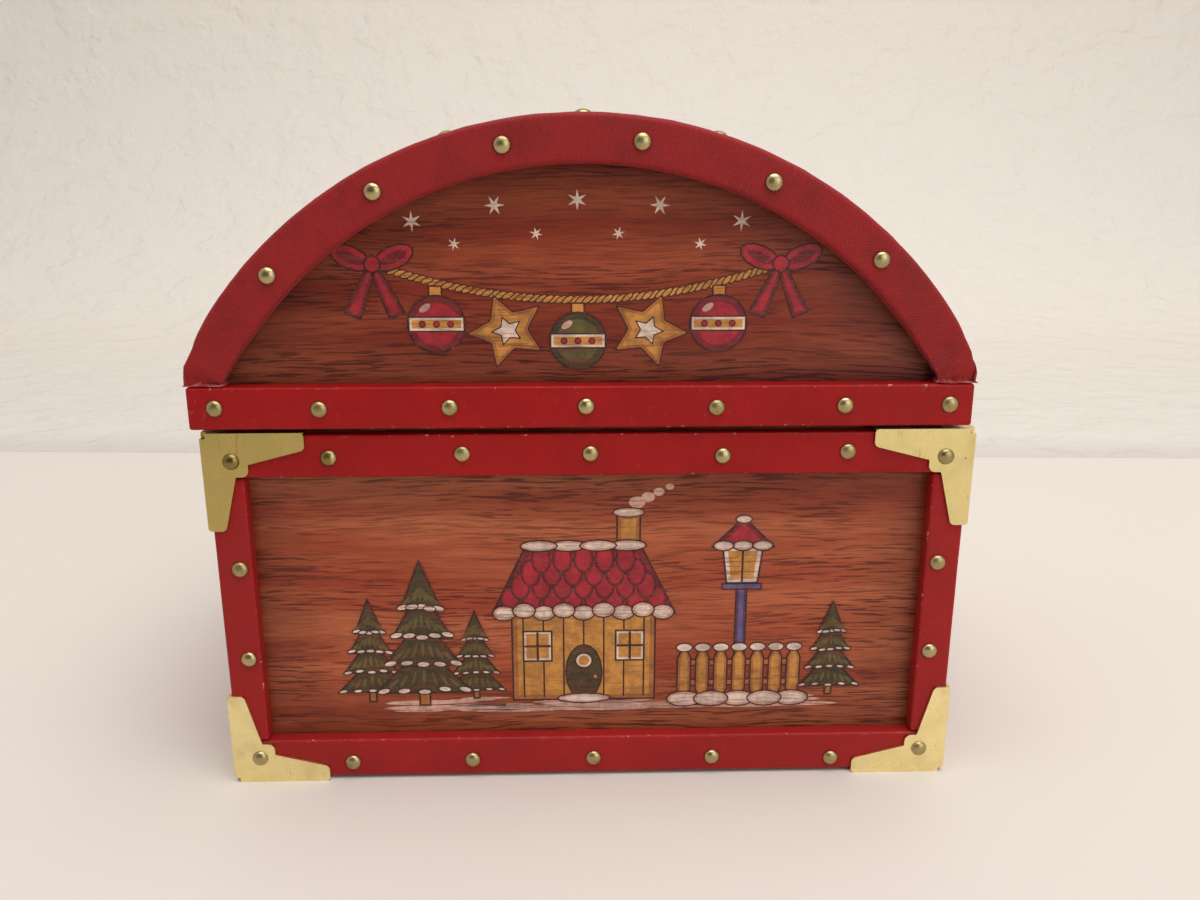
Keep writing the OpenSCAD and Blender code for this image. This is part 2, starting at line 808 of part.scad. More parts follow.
module cover_cleats() {
    left = partition_x + partition_t;
    color(pale_wood) {
        block([left, -in_y, cover_z - cleat_w], [left + cleat_w, in_y, cover_z]);
        block([in_x - cleat_w, -in_y, cover_z - cleat_w], [in_x, wire_y - wire_slot, cover_z]);
        block([in_x - cleat_w, wire_y + wire_slot, cover_z - cleat_w], [in_x, in_y, cover_z]);
    }
}

module movement_cover() {
    color(clear) difference() {
        block([partition_x + partition_t + fit_gap, fit_gap - in_y, cover_z],
            [in_x - fit_gap, in_y - fit_gap, cover_z + cover_t]);
        block([wire_x - wire_r - guide_wall, wire_y - wire_r - guide_wall, cover_z - over],
            [in_x + over, wire_y + wire_r + guide_wall, cover_z + cover_t + over]);
    }
}

// Involute gear outline with a tooth centred on +X
function involute_angle(base, r) = let (a = acos(base / r)) tan(a) * 180 / PI - a;
function polar(r, a) = r * [cos(a), sin(a)];
flank_steps = 3;
pressure_angle = 20;

module gear_outline(teeth, module_size) {
    pitch_r = teeth * module_size / 2;
    base = pitch_r * cos(pressure_angle);
    tip = pitch_r + tooth_tip * module_size;
    root = pitch_r - tooth_root * module_size;
    start = max(root, base);
    half = 90 / teeth * (1 - tooth_play) + involute_angle(base, pitch_r);
    flank = concat(root < start ? [[root, half]] : [],
        [for (i = [0 : flank_steps])
            let (r = start + (tip - start) * i / flank_steps) [r, half - involute_angle(base, r)]]);
    last = len(flank) - 1;
    polygon([for (t = [0 : teeth - 1])
        let (middle = t * 360 / teeth)
        each concat(
            [for (i = [0 : last]) polar(flank[i][0], middle - flank[i][1])],
            [for (i = [last : -1 : 0]) polar(flank[i][0], middle + flank[i][1])])]);
}

// Gear on a shaft along Y: turned by an angle, with a bore unless its radius is 0
module gear_on_y(x, y, teeth, module_size, width, turn, bore) {
    along_y(x, y, axis_z) rotate([0, 0, turn]) linear_extrude(width) difference() {
        gear_outline(teeth, module_size);
        if (bore > 0) circle(bore);
    }
}

module rod_on_y(x, y0, y1, r) {
    along_y(x, y0, axis_z) cylinder(r = r, h = y1 - y0);
}

// A post on the bedplate with a bearing for a shaft along Y
module bearing_post(x, y, thick, half, shaft_r) {
    difference() {
        block([x - half, y, bed_z - eps], [x + half, y + thick, axis_z + half]);
        rod_on_y(x, y - over, y + thick + over, shaft_r + play);
    }
}

bed_screw_r = 1.2;
bed_screw_head_r = 1.9;
bed_screw_head_h = 1.1;
bed_screw_front_room = 3;
bed_screw_back_room = 4;
bed_screw_left_room = 2.6;
bed_screw_right_room = 2.2;
bed_screw_front = bed_front + bed_screw_front_room;
bed_screw_back = housing_back - bed_screw_back_room;
bed_screw_left = bed_left + bed_screw_left_room;
bed_screw_right = bed_right - bed_screw_right_room;
bed_screw_places = [
    [bed_screw_left, bed_screw_front], [bed_screw_left, bed_screw_back], [bed_screw_right, bed_screw_back]
];
screw_bite = 0.7;
comb_screw_bite = 4;
comb_screw_shares = [0.22, 0.78];
comb_screw_depth = 0.55;
comb_screw_places = [for (s = comb_screw_shares)
    [comb_root_x + comb_back * comb_screw_depth, comb_y + s * comb_w]];
comb_z = axis_z - comb_t / 2;
bridge_screw_place = [bridge_post_x + bridge_w + bridge_foot_l / 2, worm_y];
post_half = 4;
gov_post_half = 2.4;

module movement_bedplate() {
    color(cast_metal) difference() {
        union() {
            block([bed_left, bed_front, floor_z], [bed_right, housing_back, bed_z]);
            block([comb_root_x, comb_y, bed_z - eps], [comb_root_x + comb_back, comb_y + comb_w, comb_z]);
            bearing_post(cylinder_x, rear_post_y, rear_post_t, post_half, cylinder_shaft_r);
            bearing_post(gov_x, front_post_y, post_t, gov_post_half, gov_shaft_r);
            difference() {
                block([cylinder_x - post_half, front_plate_y, bed_z - eps],
                    [gov_x + post_half, front_plate_y + front_plate_t, axis_z + post_half]);
                for (s = [[cylinder_x, cylinder_shaft_r], [gov_x, gov_shaft_r]])
                    rod_on_y(s[0], front_plate_y - over, front_plate_y + front_plate_t + over, s[1] + play);
            }
        }
        for (p = bed_screw_places) translate([p.x, p.y, floor_z - over])
            cylinder(r = bed_screw_r + hole_play, h = bed_t + 2 * over);
    }
}

// Cheese-head screw whose head stands on z = 0
module machine_screw(shank) {
    slot_w = 0.5;
    difference() {
        cylinder(r = bed_screw_head_r, h = bed_screw_head_h);
        translate([0, 0, bed_screw_head_h])
            cube([2 * bed_screw_head_r + over, slot_w, 2 * slot_w], center = true);
    }
    translate([0, 0, -shank]) cylinder(r = bed_screw_r, h = shank + eps);
}

module movement_screws() {
    color(steel) {
        for (p = bed_screw_places) translate([p.x, p.y, bed_z]) machine_screw(bed_t + floor_t * screw_bite);
        for (p = comb_screw_places)
            translate([p.x, p.y, comb_z + comb_t]) machine_screw(comb_t + comb_screw_bite);
        translate([bridge_screw_place.x, bridge_screw_place.y, bed_z + bridge_foot_t])
            machine_screw(bridge_foot_t + bed_t * screw_bite);
    }
}

// Mainspring and its housing
housing_foot_half = 10;

module spring_housing() {
    color(steel) difference() {
        union() {
            rod_on_y(key_x, housing_front, housing_back, housing_r);
            block([key_x - housing_foot_half, housing_front, bed_z],
                [key_x + housing_foot_half, housing_back, axis_z - housing_r / 2]);
        }
        rod_on_y(key_x, housing_front - over, housing_back - housing_t, housing_r - housing_t);
        rod_on_y(key_x, housing_front - over, housing_back + over, arbor_r + play);
    }
}

module spring_cover() {
    color(steel) difference() {
        rod_on_y(key_x, housing_front - spring_cover_t, housing_front, housing_r);
        rod_on_y(key_x, housing_front - spring_cover_t - over, housing_front + over, arbor_r + play);
    }
}

spring_t = 0.35;
spring_turns = 6;
spring_gap = 0.3;
spring_inner = hub_r + spring_gap + spring_t / 2;
spring_outer = housing_r - housing_t - spring_gap - spring_t / 2;
spring_turn_steps = 24;
spring_steps = spring_turn_steps * spring_turns;
function spring_point(i, offset) =
    polar(spring_inner + (spring_outer - spring_inner) * i / spring_steps + offset,
        360 * i / spring_turn_steps);

module mainspring() {
    end_gap = 1;
    width = housing_len - housing_t - 2 * end_gap;
    color(steel) along_y(key_x, housing_front + end_gap, axis_z) linear_extrude(width) polygon(concat(
        [for (i = [0 : spring_steps]) spring_point(i, spring_t / 2)],
        [for (i = [spring_steps : -1 : 0]) spring_point(i, -spring_t / 2)]));
}

// Winding train: arbor, drive wheel and key
arbor_end = 0.7;
arbor_front = drive_y - arbor_end;
stud_len = 6.5;
stud_room = 0.3;

module winding_arbor() {
    color(steel) {
        rod_on_y(key_x, arbor_front, key_front, arbor_r);
        rod_on_y(key_x, housing_front + step_gap, housing_back - housing_t - step_gap, hub_r);
        rod_on_y(key_x, key_front - eps, key_front + stud_len, key_stud_r);
    }
}

module drive_wheel() {
    color(brass) gear_on_y(key_x, drive_y, drive_teeth, drive_module, drive_t, 0, arbor_r + press_play);
}

// The shaft's seam is turned away from the wings
key_seam = 40;
key_web_half = 0.8 * key_r;
key_web_top = key_wing_y + 1.5 * key_wing_r;
key_web_start = key_front + stud_len + over;

module winding_key() {
    color(brass) {
        difference() {
            translate([key_x, key_front, axis_z]) rotate([-90, key_seam, 0])
                cylinder(r = key_r, h = key_len);
            rod_on_y(key_x, key_front - over, key_front + stud_len + stud_room, key_stud_r + press_play);
        }
        translate([key_x, 0, axis_z - key_wing_t / 2]) linear_extrude(key_wing_t) difference() {
            union() {
                for (sx = [-1, 1])
                    translate([sx * key_wing_offset, key_wing_y + key_wing_r]) circle(key_wing_r);
                translate([-key_web_half, key_web_start])
                    square([2 * key_web_half, key_web_top - key_web_start]);
            }
            for (sx = [-1, 1])
                translate([sx * key_wing_offset, key_wing_y + key_wing_r]) circle(key_hole_r);
            translate([-key_r, key_front - over]) square([2 * key_r, stud_len + 2 * over]);
        }
    }
}

// Cylinder train
pinion_turn = 180 / pinion_teeth;

module cylinder_arbor() {
    color(steel) {
        rod_on_y(cylinder_x, front_plate_y, rear_post_y + rear_post_t, cylinder_shaft_r);
        gear_on_y(cylinder_x, drive_y - pinion_lap, pinion_teeth, drive_module, drive_t + 2 * pinion_lap,
            pinion_turn, 0);
    }
}

pin_r = 0.22;
pins_each = 4;
pin_step = 47;
pin_stray = 13;

module music_cylinder() {
    color(brass) difference() {
        union() {
            rod_on_y(cylinder_x, cylinder_front, cylinder_back, cylinder_r);
            for (t = [0 : notes - 1], k = [0 : pins_each - 1])
                translate([cylinder_x, comb_y + (t + 0.5) * note_pitch, axis_z])
                    rotate([0, t * pin_step + k * (360 / pins_each + pin_stray), 0])
                        cylinder(r = pin_r, h = cylinder_r + pin_h, $fn = 16);
        }
        rod_on_y(cylinder_x, cylinder_front - over, cylinder_back + over, cylinder_shaft_r + press_play);
    }
}

module cylinder_wheel() {
    color(brass) gear_on_y(cylinder_x, cylinder_wheel_y, cylinder_wheel_teeth, gov_module,
        cylinder_wheel_t, 0, cylinder_shaft_r + press_play);
}

module tuned_comb() {
    color(steel) difference() {
        union() {
            block([comb_root_x, comb_y, comb_z],
                [comb_root_x + comb_back, comb_y + comb_w, comb_z + comb_t]);
            for (t = [0 : notes - 1])
                block([comb_tip_x, comb_y + t * note_pitch + comb_slot / 2, axis_z - comb_tooth_t / 2],
                    [comb_root_x + eps, comb_y + (t + 1) * note_pitch - comb_slot / 2,
                        axis_z + comb_tooth_t / 2]);
        }
        for (p = comb_screw_places) translate([p.x, p.y, comb_z - over])
            cylinder(r = bed_screw_r + hole_play, h = comb_t + 2 * over);
    }
}

// Governor: wheel with pinion, worm spindle, fly and bridge
gov_pinion_turn = 180 / gov_pinion_teeth;

module governor_wheel() {
    pinion_y = cylinder_wheel_y - pinion_lap;
    pinion_w = cylinder_wheel_t + 2 * pinion_lap;
    color(brass) {
        rod_on_y(gov_x, front_post_y, pinion_y + pinion_w, gov_shaft_r);
        gear_on_y(gov_x, pinion_y, gov_pinion_teeth, gov_module, pinion_w, gov_pinion_turn, 0);
        gear_on_y(gov_x, worm_wheel_y, worm_wheel_teeth, gov_module, worm_wheel_t, 0, 0);
    }
}

// Right-hand thread: a lobed section that turns as it climbs, with its groove at the worm wheel's tooth
thread_steps = 16;
thread_core_steps = 7;
function thread_angle(width) = 360 * width / worm_lead;
thread_core_angle = thread_angle(worm_thread_root) / 2;
thread_section = concat(
    [for (i = [-1 : 1]) polar(worm_tip_r, i * thread_angle(worm_thread_tip) / 2)],
    [for (i = [0 : thread_core_steps])
        polar(worm_core_r, thread_core_angle + (360 - 2 * thread_core_angle) * i / thread_core_steps)]);

module worm_thread() {
    height = worm_turns * worm_lead;
    translate([0, 0, -height / 2]) rotate([0, 0, -180 * worm_turns])
        linear_extrude(height, twist = -360 * worm_turns, slices = worm_turns * thread_steps,
            segments = len(thread_section))
            polygon(thread_section);
}

spindle_low = lower_arm_z;
spindle_high = upper_arm_z + arm_t;

module governor_worm() {
    color(steel) {
        translate([worm_x, worm_y, spindle_low]) cylinder(r = spindle_r, h = spindle_high - spindle_low);
        translate([worm_x, worm_y, axis_z]) worm_thread();
    }
}

module governor_fly() {
    color(black) translate([worm_x, worm_y, fly_z]) difference() {
        union() {
            cylinder(r = fly_hub_r, h = fly_h + eps);
            translate([0, 0, fly_h]) cylinder(r = brake_r, h = brake_t);
            translate([-fly_r, -fly_wing_t / 2, fly_wing_inset])
                cube([2 * fly_r, fly_wing_t, fly_h - 2 * fly_wing_inset]);
        }
        translate([0, 0, -over]) cylinder(r = spindle_r + press_play, h = fly_h + brake_t + 2 * over);
    }
}

module governor_bridge() {
    arm_end = worm_x - arm_overhang;
    back = bridge_post_x + bridge_w;
    low_y = worm_y - bridge_w / 2;
    high_y = worm_y + bridge_w / 2;
    color(steel) difference() {
        union() {
            block([bridge_post_x, low_y, bed_z], [back, high_y, upper_arm_z + arm_t]);
            block([arm_end, low_y, lower_arm_z], [back, high_y, lower_arm_z + arm_t]);
            block([arm_end, low_y, upper_arm_z], [back, high_y, upper_arm_z + arm_t]);
            block([back - eps, low_y - bridge_foot_flare, bed_z],
                [back + bridge_foot_l, high_y + bridge_foot_flare, bed_z + bridge_foot_t]);
        }
        translate([worm_x, worm_y, bed_z]) cylinder(r = spindle_r + play, h = upper_arm_z);
        translate([bridge_screw_place.x, bridge_screw_place.y, bed_z - over])
            cylinder(r = bed_screw_r + hole_play, h = bridge_foot_t + 2 * over);
    }
}

// Stop wire: its foot brakes the fly while the lid holds it down
module stop_wire() {
    color(brass) {
        translate([wire_x, wire_y, wire_foot_z]) {
            cylinder(r = wire_r, h = wire_top - wire_foot_z);
            sphere(r = wire_r);
            rotate([0, -90, 0]) cylinder(r = wire_r, h = wire_x - worm_x - wire_r);
        }
    }
}

module stop_guides() {
    color(brass) for (z = [lower_guide_z, upper_guide_z]) difference() {
        block([wire_x - wire_r - guide_wall, wire_y - guide_w / 2, z],
            [in_x, wire_y + guide_w / 2, z + guide_h]);
        translate([wire_x, wire_y, z - over]) cylinder(r = wire_r + play, h = guide_h + 2 * over);
    }
}

base_front_panel();
base_back_panel();
base_left_panel();
base_right_panel();
base_floor();
base_felt();
keepsake_lining();
front_top_rail();
front_bottom_rail();
front_stiles();
back_top_rail();
back_bottom_rail();
back_stiles();
left_top_rail();
left_bottom_rail();
left_stiles();
right_top_rail();
right_bottom_rail();
right_stiles();
top_corner_brackets();
bottom_corner_brackets();
base_nails();
lid_front_panel();
lid_back_panel();
lid_side_walls();
lid_dome();
lid_front_rail();
lid_back_rail();
lid_side_rails();
lid_front_arch();
lid_back_arch();
lid_top_bands();
lid_nails();
hinge_base_leaves();
hinge_lid_leaves();
hinge_pins();
hinge_base_screws();
hinge_lid_screws();
partition_wall();
cover_cleats();
movement_cover();
movement_bedplate();
movement_screws();
spring_housing();
spring_cover();
mainspring();
winding_arbor();
drive_wheel();
winding_key();
cylinder_arbor();
music_cylinder();
cylinder_wheel();
tuned_comb();
governor_wheel();
governor_worm();
governor_fly();
governor_bridge();
stop_wire();
stop_guides();
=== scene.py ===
"""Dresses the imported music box: paint, veneer, cloth, brass, felt, the movement, and the stage round it."""

import json
import math
import random
from contextlib import contextmanager

import bpy
import numpy as np
from bpy.props import FloatProperty, FloatVectorProperty, PointerProperty
from mathutils import Matrix, Vector

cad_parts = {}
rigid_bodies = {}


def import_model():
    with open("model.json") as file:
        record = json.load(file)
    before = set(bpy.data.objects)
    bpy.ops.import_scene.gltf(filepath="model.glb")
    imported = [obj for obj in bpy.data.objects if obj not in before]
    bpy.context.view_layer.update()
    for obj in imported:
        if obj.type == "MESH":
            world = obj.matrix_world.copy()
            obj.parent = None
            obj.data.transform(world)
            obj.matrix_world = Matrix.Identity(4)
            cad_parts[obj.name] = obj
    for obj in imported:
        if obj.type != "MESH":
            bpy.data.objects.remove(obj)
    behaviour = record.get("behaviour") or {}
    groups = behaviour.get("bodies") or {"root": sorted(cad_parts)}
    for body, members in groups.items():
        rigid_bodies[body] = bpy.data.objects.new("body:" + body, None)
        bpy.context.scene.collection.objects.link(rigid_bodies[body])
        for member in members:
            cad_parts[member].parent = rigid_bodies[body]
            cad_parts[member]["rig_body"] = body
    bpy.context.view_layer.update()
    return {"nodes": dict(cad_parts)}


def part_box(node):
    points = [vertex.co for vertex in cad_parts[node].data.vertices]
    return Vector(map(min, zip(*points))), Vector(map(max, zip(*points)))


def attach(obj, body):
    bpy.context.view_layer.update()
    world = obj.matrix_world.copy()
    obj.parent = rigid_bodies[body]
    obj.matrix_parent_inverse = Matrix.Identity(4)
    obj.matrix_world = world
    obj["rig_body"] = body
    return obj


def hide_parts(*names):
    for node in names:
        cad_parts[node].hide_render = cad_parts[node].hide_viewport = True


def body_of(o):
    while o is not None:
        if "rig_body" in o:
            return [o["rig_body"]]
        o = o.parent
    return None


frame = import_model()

bl_info = {
    "name": "Dome-topped music box",
    "version": (1, 0, 0),
    "blender": (4, 5, 0),
    "location": "View3D > Sidebar > Music box",
    "description": "Builds the painted, veneered and nailed look of a music box round its CAD model",
    "category": "Object",
}

MM = 0.001
NODES = frame["nodes"]


def srgb(red, green, blue):
    """A colour as it shows on a screen, 0 to 255, made linear."""
    shares = [c / 255 for c in (red, green, blue)]
    return tuple(c / 12.92 if c <= 0.04045 else ((c + 0.055) / 1.055) ** 2.4 for c in shares)


def scaled(colour, factor):
    return [factor * share for share in colour]


def length(label, about, millimetres):
    """A length that a user may change."""
    return FloatProperty(name=label, description=about, default=millimetres * MM, unit="LENGTH", precision=5)


def tint(label, about, *shown):
    """A colour that a user may change, given as it shows."""
    return FloatVectorProperty(name=label, description=about, default=srgb(*shown), subtype="COLOR",
                               min=0, max=1)


class MusicBoxSizes(bpy.types.PropertyGroup):
    """Small sizes of the finish; the large ones come from the CAD model"""

    strip_round: length("Strip rounding", "Edge radius of the painted strips", 0.75)
    panel_round: length("Panel rounding", "Edge radius of walls and floor", 0.35)
    corner_round: length("Corner rounding", "Fold radius of the brass corners", 0.28)
    metal_round: length("Metal rounding", "Edge radius of hinges and movement", 0.1)
    cover_round: length("Cover rounding", "Edge radius of the clear cover", 0.25)
    arch_round: length("Arch rounding", "Radius where the cloth turns round the arch", 1.3)
    end_round: length("End rounding", "Radius where the cloth turns in at the arch's ends", 0.5)
    band_round: length("Band rounding", "Edge radius of the cloth bands", 0.3)
    felt_round: length("Felt rounding", "Edge radius of the felt", 0.3)
    sanding: length("Sanding", "Depth of the hand-sanded hollows in the strips", 0.14)
    cloth_puff: length("Cloth puff", "Unevenness of the arches' cloth", 0.3)
    band_puff: length("Band puff", "Unevenness of the cloth bands", 0.15)
    end_crumple: length("End crumple", "Depth of the folds at the arch's ends", 2.2)
    felt_pile: length("Felt pile", "Unevenness of the felt", 0.12)
    ink_step: length("Ink step", "Thickness of one layer of ink", 0.02)
    thread: length("Thread", "Spacing of the threads of the cloth", 0.42)


class MusicBoxColours(bpy.types.PropertyGroup):
    """Colours of the finishes"""

    paint: tint("Paint", "Red paint on the strips", 151, 19, 19)
    # Also the colour that the painted floor bounce mixes in low down on the strips.
    paint_worn_and_bounce: tint("Worn paint", "Where the red paint is rubbed or chipped", 214, 176, 164)
    cloth: tint("Cloth", "Red bookcloth of the arches and bands", 143, 25, 26)
    cloth_dark: tint("Dark cloth", "Glue stains and folds in the bookcloth", 106, 17, 19)
    wood_light: tint("Light veneer", "Light streaks of the veneer", 184, 102, 66)
    wood_mid: tint("Veneer", "Ground colour of the veneer", 150, 62, 36)
    wood_dark: tint("Dark veneer", "Pores of the veneer", 70, 24, 18)
    plain_wood: tint("Plain wood", "Unpainted wood of the floor and cleats", 190, 146, 98)
    brass: tint("Brass", "Stamped corners and hinges", 245, 227, 166)
    nail_brass: tint("Nail brass", "Heads of the nails", 176, 160, 116)
    worked_brass: tint("Worked brass", "Wheels, cylinder and key", 206, 174, 98)
    steel: tint("Steel", "Comb, arbors and screws", 186, 187, 190)
    cast_metal: tint("Cast metal", "Bedplate of the movement", 150, 150, 153)
    felt: tint("Felt", "Felt under and inside the chest", 120, 16, 24)
    black: tint("Black plastic", "Fly of the governor", 24, 24, 26)
    floor: tint("Floor", "Table that the box stands on", 221, 211, 202)
    wall: tint("Wall", "Plastered wall behind", 237, 228, 218)


def sizes():
    return bpy.context.scene.music_box_sizes


def colours():
    return bpy.context.scene.music_box_colours


class Nodes:
    """Adds nodes to a tree; most calls give the output that the next one takes."""

    def __init__(self, tree):
        self.tree = tree

    def put(self, node, key, value):
        """Sets a socket, or links it if the value is an output."""
        socket = node.inputs[key]
        if isinstance(value, bpy.types.NodeSocket):
            self.tree.links.new(value, socket)
        elif socket.type == "RGBA":
            socket.default_value = (*value[:3], 1)
        else:
            socket.default_value = value

    def node(self, kind, sockets=None, **settings):
        made = self.tree.nodes.new("ShaderNode" + kind)
        for key, value in settings.items():
            setattr(made, key, value)
        for key, value in (sockets or {}).items():
            self.put(made, key, value)
        return made

    def place(self, system):
        return self.node("TexCoord").outputs[system]

    def attribute(self, name):
        return self.node("Attribute", attribute_name=name).outputs["Fac"]

    def math(self, operation, first, second=0.0):
        return self.node("Math", {0: first, 1: second}, operation=operation).outputs[0]

    def plus(self, first, second):
        return self.math("ADD", first, second)

    def less(self, first, second):
        return self.math("SUBTRACT", first, second)

    def times(self, first, second):
        return self.math("MULTIPLY", first, second)

    def parts(self, vector):
        return self.node("SeparateXYZ", {0: vector}).outputs

    def vector(self, x, y, z):
        return self.node("CombineXYZ", {0: x, 1: y, 2: z}).outputs[0]

    def moved(self, vector, by):
        return self.node("VectorMath", {0: vector, 1: by}, operation="ADD").outputs[0]

    def stretch(self, vector, *factors, turn=(0, 0, 0)):
        return self.node("Mapping", {"Vector": vector, "Scale": factors, "Rotation": turn}).outputs[0]

    def noise(self, vector, scale=1.0, detail=2.0, roughness=0.5):
        sockets = {"Vector": vector, "Scale": scale, "Detail": detail, "Roughness": roughness}
        return self.node("TexNoise", sockets).outputs["Fac"]

    def band(self, value, low, high, to_low=0.0, to_high=1.0):
        """Goes smoothly from to_low to to_high as value goes from low to high."""
        sockets = {"Value": value, "From Min": low, "From Max": high, "To Min": to_low, "To Max": to_high}
        return self.node("MapRange", sockets, interpolation_type="SMOOTHSTEP").outputs["Result"]

    def mix(self, share, first, second, blend="MIX"):
        sockets = {"Factor": share, 6: first, 7: second}
        return self.node("Mix", sockets, data_type="RGBA", blend_type=blend).outputs[2]

    def shade(self, colour, level):
        """A colour made darker to a level."""
        return self.mix(1.0, colour, self.vector(level, level, level), "MULTIPLY")


class Finish(Nodes):
    """A material, with the place on its object at hand."""

    def __init__(self, name):
        made = bpy.data.materials.new(name)
        made.use_nodes = True
        super().__init__(made.node_tree)
        self.at = self.place("Object")

    def set(self, **sockets):
        """Sets or links the shader's sockets: coat_weight stands for Coat Weight."""
        for key, value in sockets.items():
            name = key.replace("_", " ").title().replace("Ior", "IOR")
            self.put(self.tree.nodes["Principled BSDF"], name, value)

    def bump(self, height, depth):
        made = self.node("Bump", {"Height": height, "Distance": depth, "Strength": 1.0})
        self.set(normal=made.outputs["Normal"])


def flecks(f, cell, share, largest):
    """Mask of small irregular flecks: one in some of the cells, none in the rest."""
    wobble = f.times(f.noise(f.at, 2600, 2), 0.6 * MM)
    cells = f.node("TexVoronoi", {"Vector": f.moved(f.at, wobble), "Scale": 1 / cell})
    draw = f.parts(cells.outputs["Color"])[0]
    size = f.band(draw, 1 - share, 1, 0, largest / cell)
    depth = f.less(size, cells.outputs["Distance"])
    return f.band(depth, 0, 0.1 * largest / cell)


def red_paint(f):
    """Satin red paint, a little uneven, paler low down with painted light from the table, with chipped edges
    and a few pale flecks.
    """
    c = colours()
    tone = f.noise(f.at, 60, 4, 0.6)
    colour = f.mix(f.band(tone, 0.35, 0.7), scaled(c.paint, 0.88), scaled(c.paint, 1.05))
    # Painted light: below about 65 mm the paint is mixed a little paler, for the light the table throws up.
    painted_floor_bounce = f.band(f.parts(f.at)[2], 65 * MM, 85 * MM, 0.016, 0)
    edge = f.attribute("edge")
    rubbed = f.times(edge, f.band(f.noise(f.at, 420, 3, 0.7), 0.55, 0.7))
    chips = f.times(edge, f.band(f.noise(f.at, 700, 2, 0.6), 0.66, 0.7))
    pale = f.math("MAXIMUM", chips, flecks(f, 9 * MM, 0.4, 0.3 * MM))
    for share in (painted_floor_bounce, f.times(rubbed, 0.12), f.times(pale, 0.85)):
        colour = f.mix(share, colour, c.paint_worn_and_bounce)
    f.set(base_color=colour, specular_ior_level=0.16)
    f.set(roughness=f.band(f.noise(f.at, 240, 3), 0.3, 0.7, 0.34, 0.46))
    f.bump(f.noise(f.at, 1400, 3), 0.03 * MM)


GRAIN = {"x": (0, 2, 1), "y": (1, 2, 0), "flat": (0, 1, 2)}


def along_grain(f, run, arch=None):
    """Object coordinates in the order along the grain, across it, into the wood."""
    place = f.parts(f.at)
    if arch is None:
        return f.vector(*[place[i] for i in GRAIN[run]])
    across = f.less(place[0], arch.x)
    up = f.less(place[2], arch.z)
    turn = f.math("ARCTAN2", across, up)
    return f.vector(place[1], f.times(turn, arch.outer), f.plus(across, up))


def wood_grain(f, vector):
    """Colour of the mahogany veneer and the mask of its pores."""
    c = colours()
    bend = f.band(f.noise(f.stretch(vector, 16, 30, 0), 1, 2), 0, 1, -2 * MM, 2 * MM)
    vector = f.moved(vector, f.vector(0.0, bend, 0.0))
    streak = f.noise(f.stretch(vector, 9, 130, 40), 1, 3, 0.55)
    fibre = f.noise(f.stretch(vector, 110, 2300, 300), 1, 3, 0.65)
    colour = f.mix(f.band(streak, 0.3, 0.7), c.wood_mid, c.wood_light)
    colour = f.mix(f.band(fibre, 0.4, 0.7, 0, 0.5), colour, scaled(c.wood_mid, 0.6))
    cluster = f.band(f.noise(f.stretch(vector, 12, 110, 40), 1, 2), 0.33, 0.6, 0.25, 1)
    pore = f.band(f.noise(f.stretch(vector, 105, 1800, 300), 1, 3), 0.52, 0.6)
    pore = f.times(pore, cluster)
    return f.mix(f.times(pore, 0.74), colour, c.wood_dark), pore


def wood_finish(f, run, reach=None, arch=None, stain=None):
    """Lacquered veneer; reach gives the distance to the frame's edge, towards which it is darker, and stain
    multiplies in a tint that is painted shade on the lid.
    """
    colour, pore = wood_grain(f, along_grain(f, run, arch))
    if reach:
        uneven_reach = f.plus(reach(f), f.band(f.noise(f.at, 90, 3), 0, 1, -4 * MM, 4 * MM))
        colour = f.shade(colour, f.band(uneven_reach, -4 * MM, 22 * MM, 0.62, 1))
    # The lid passes stain as a painted shade: a darker, redder tint for the shadow and red bounce under the
    # arch.
    if stain:
        colour = f.mix(1.0, colour, stain, "MULTIPLY")
    f.set(base_color=colour, roughness=f.band(pore, 0, 1, 0.36, 0.55), specular_ior_level=0.2)
    f.set(coat_weight=0.08, coat_roughness=0.15)
    f.bump(f.times(pore, -1), 0.03 * MM)


def inside_field(side, axis):
    """Distance to the strips round a side's field; axis is 0 for X and 1 for Y."""
    first, *_, last = solids(side + "_stiles")
    half = (last.min(0)[axis] - first.max(0)[axis]) / 2

    def reach(f):
        place = f.parts(f.at)
        beside = f.less(half, f.math("ABSOLUTE", place[axis]))
        foot = f.less(place[2], first.min(0)[2])
        head = f.less(last.max(0)[2], place[2])
        return f.math("MINIMUM", beside, f.math("MINIMUM", foot, head))
    return reach


def inside_arch(arch):
    """Distance to the arch and to the rail below it."""
    def reach(f):
        place = f.parts(f.at)
        flat = f.vector(f.less(place[0], arch.x), 0.0, f.less(place[2], arch.z))
        out = f.node("VectorMath", {0: flat}, operation="LENGTH").outputs["Value"]
        return f.math("MINIMUM", f.less(arch.inner, out), f.less(place[2], arch.low.z))
    return reach


def ink(f, *shown):
    """Printed ink: uneven, a little rubbed, with the veneer's pores showing through."""
    wood, pore = wood_grain(f, along_grain(f, "x"))
    full = srgb(*shown)
    tone = f.noise(f.at, 330, 4, 0.65)
    colour = f.mix(f.band(tone, 0.34, 0.66), scaled(full, 0.6), full)
    rubbed = f.band(f.noise(f.at, 900, 3, 0.7), 0.56, 0.74, 0, 0.5)
    f.set(base_color=f.mix(f.math("MAXIMUM", f.times(pore, 0.55), rubbed), colour, wood))
    f.set(specular_ior_level=0.3, coat_weight=0.15, coat_roughness=0.15, roughness=0.4)


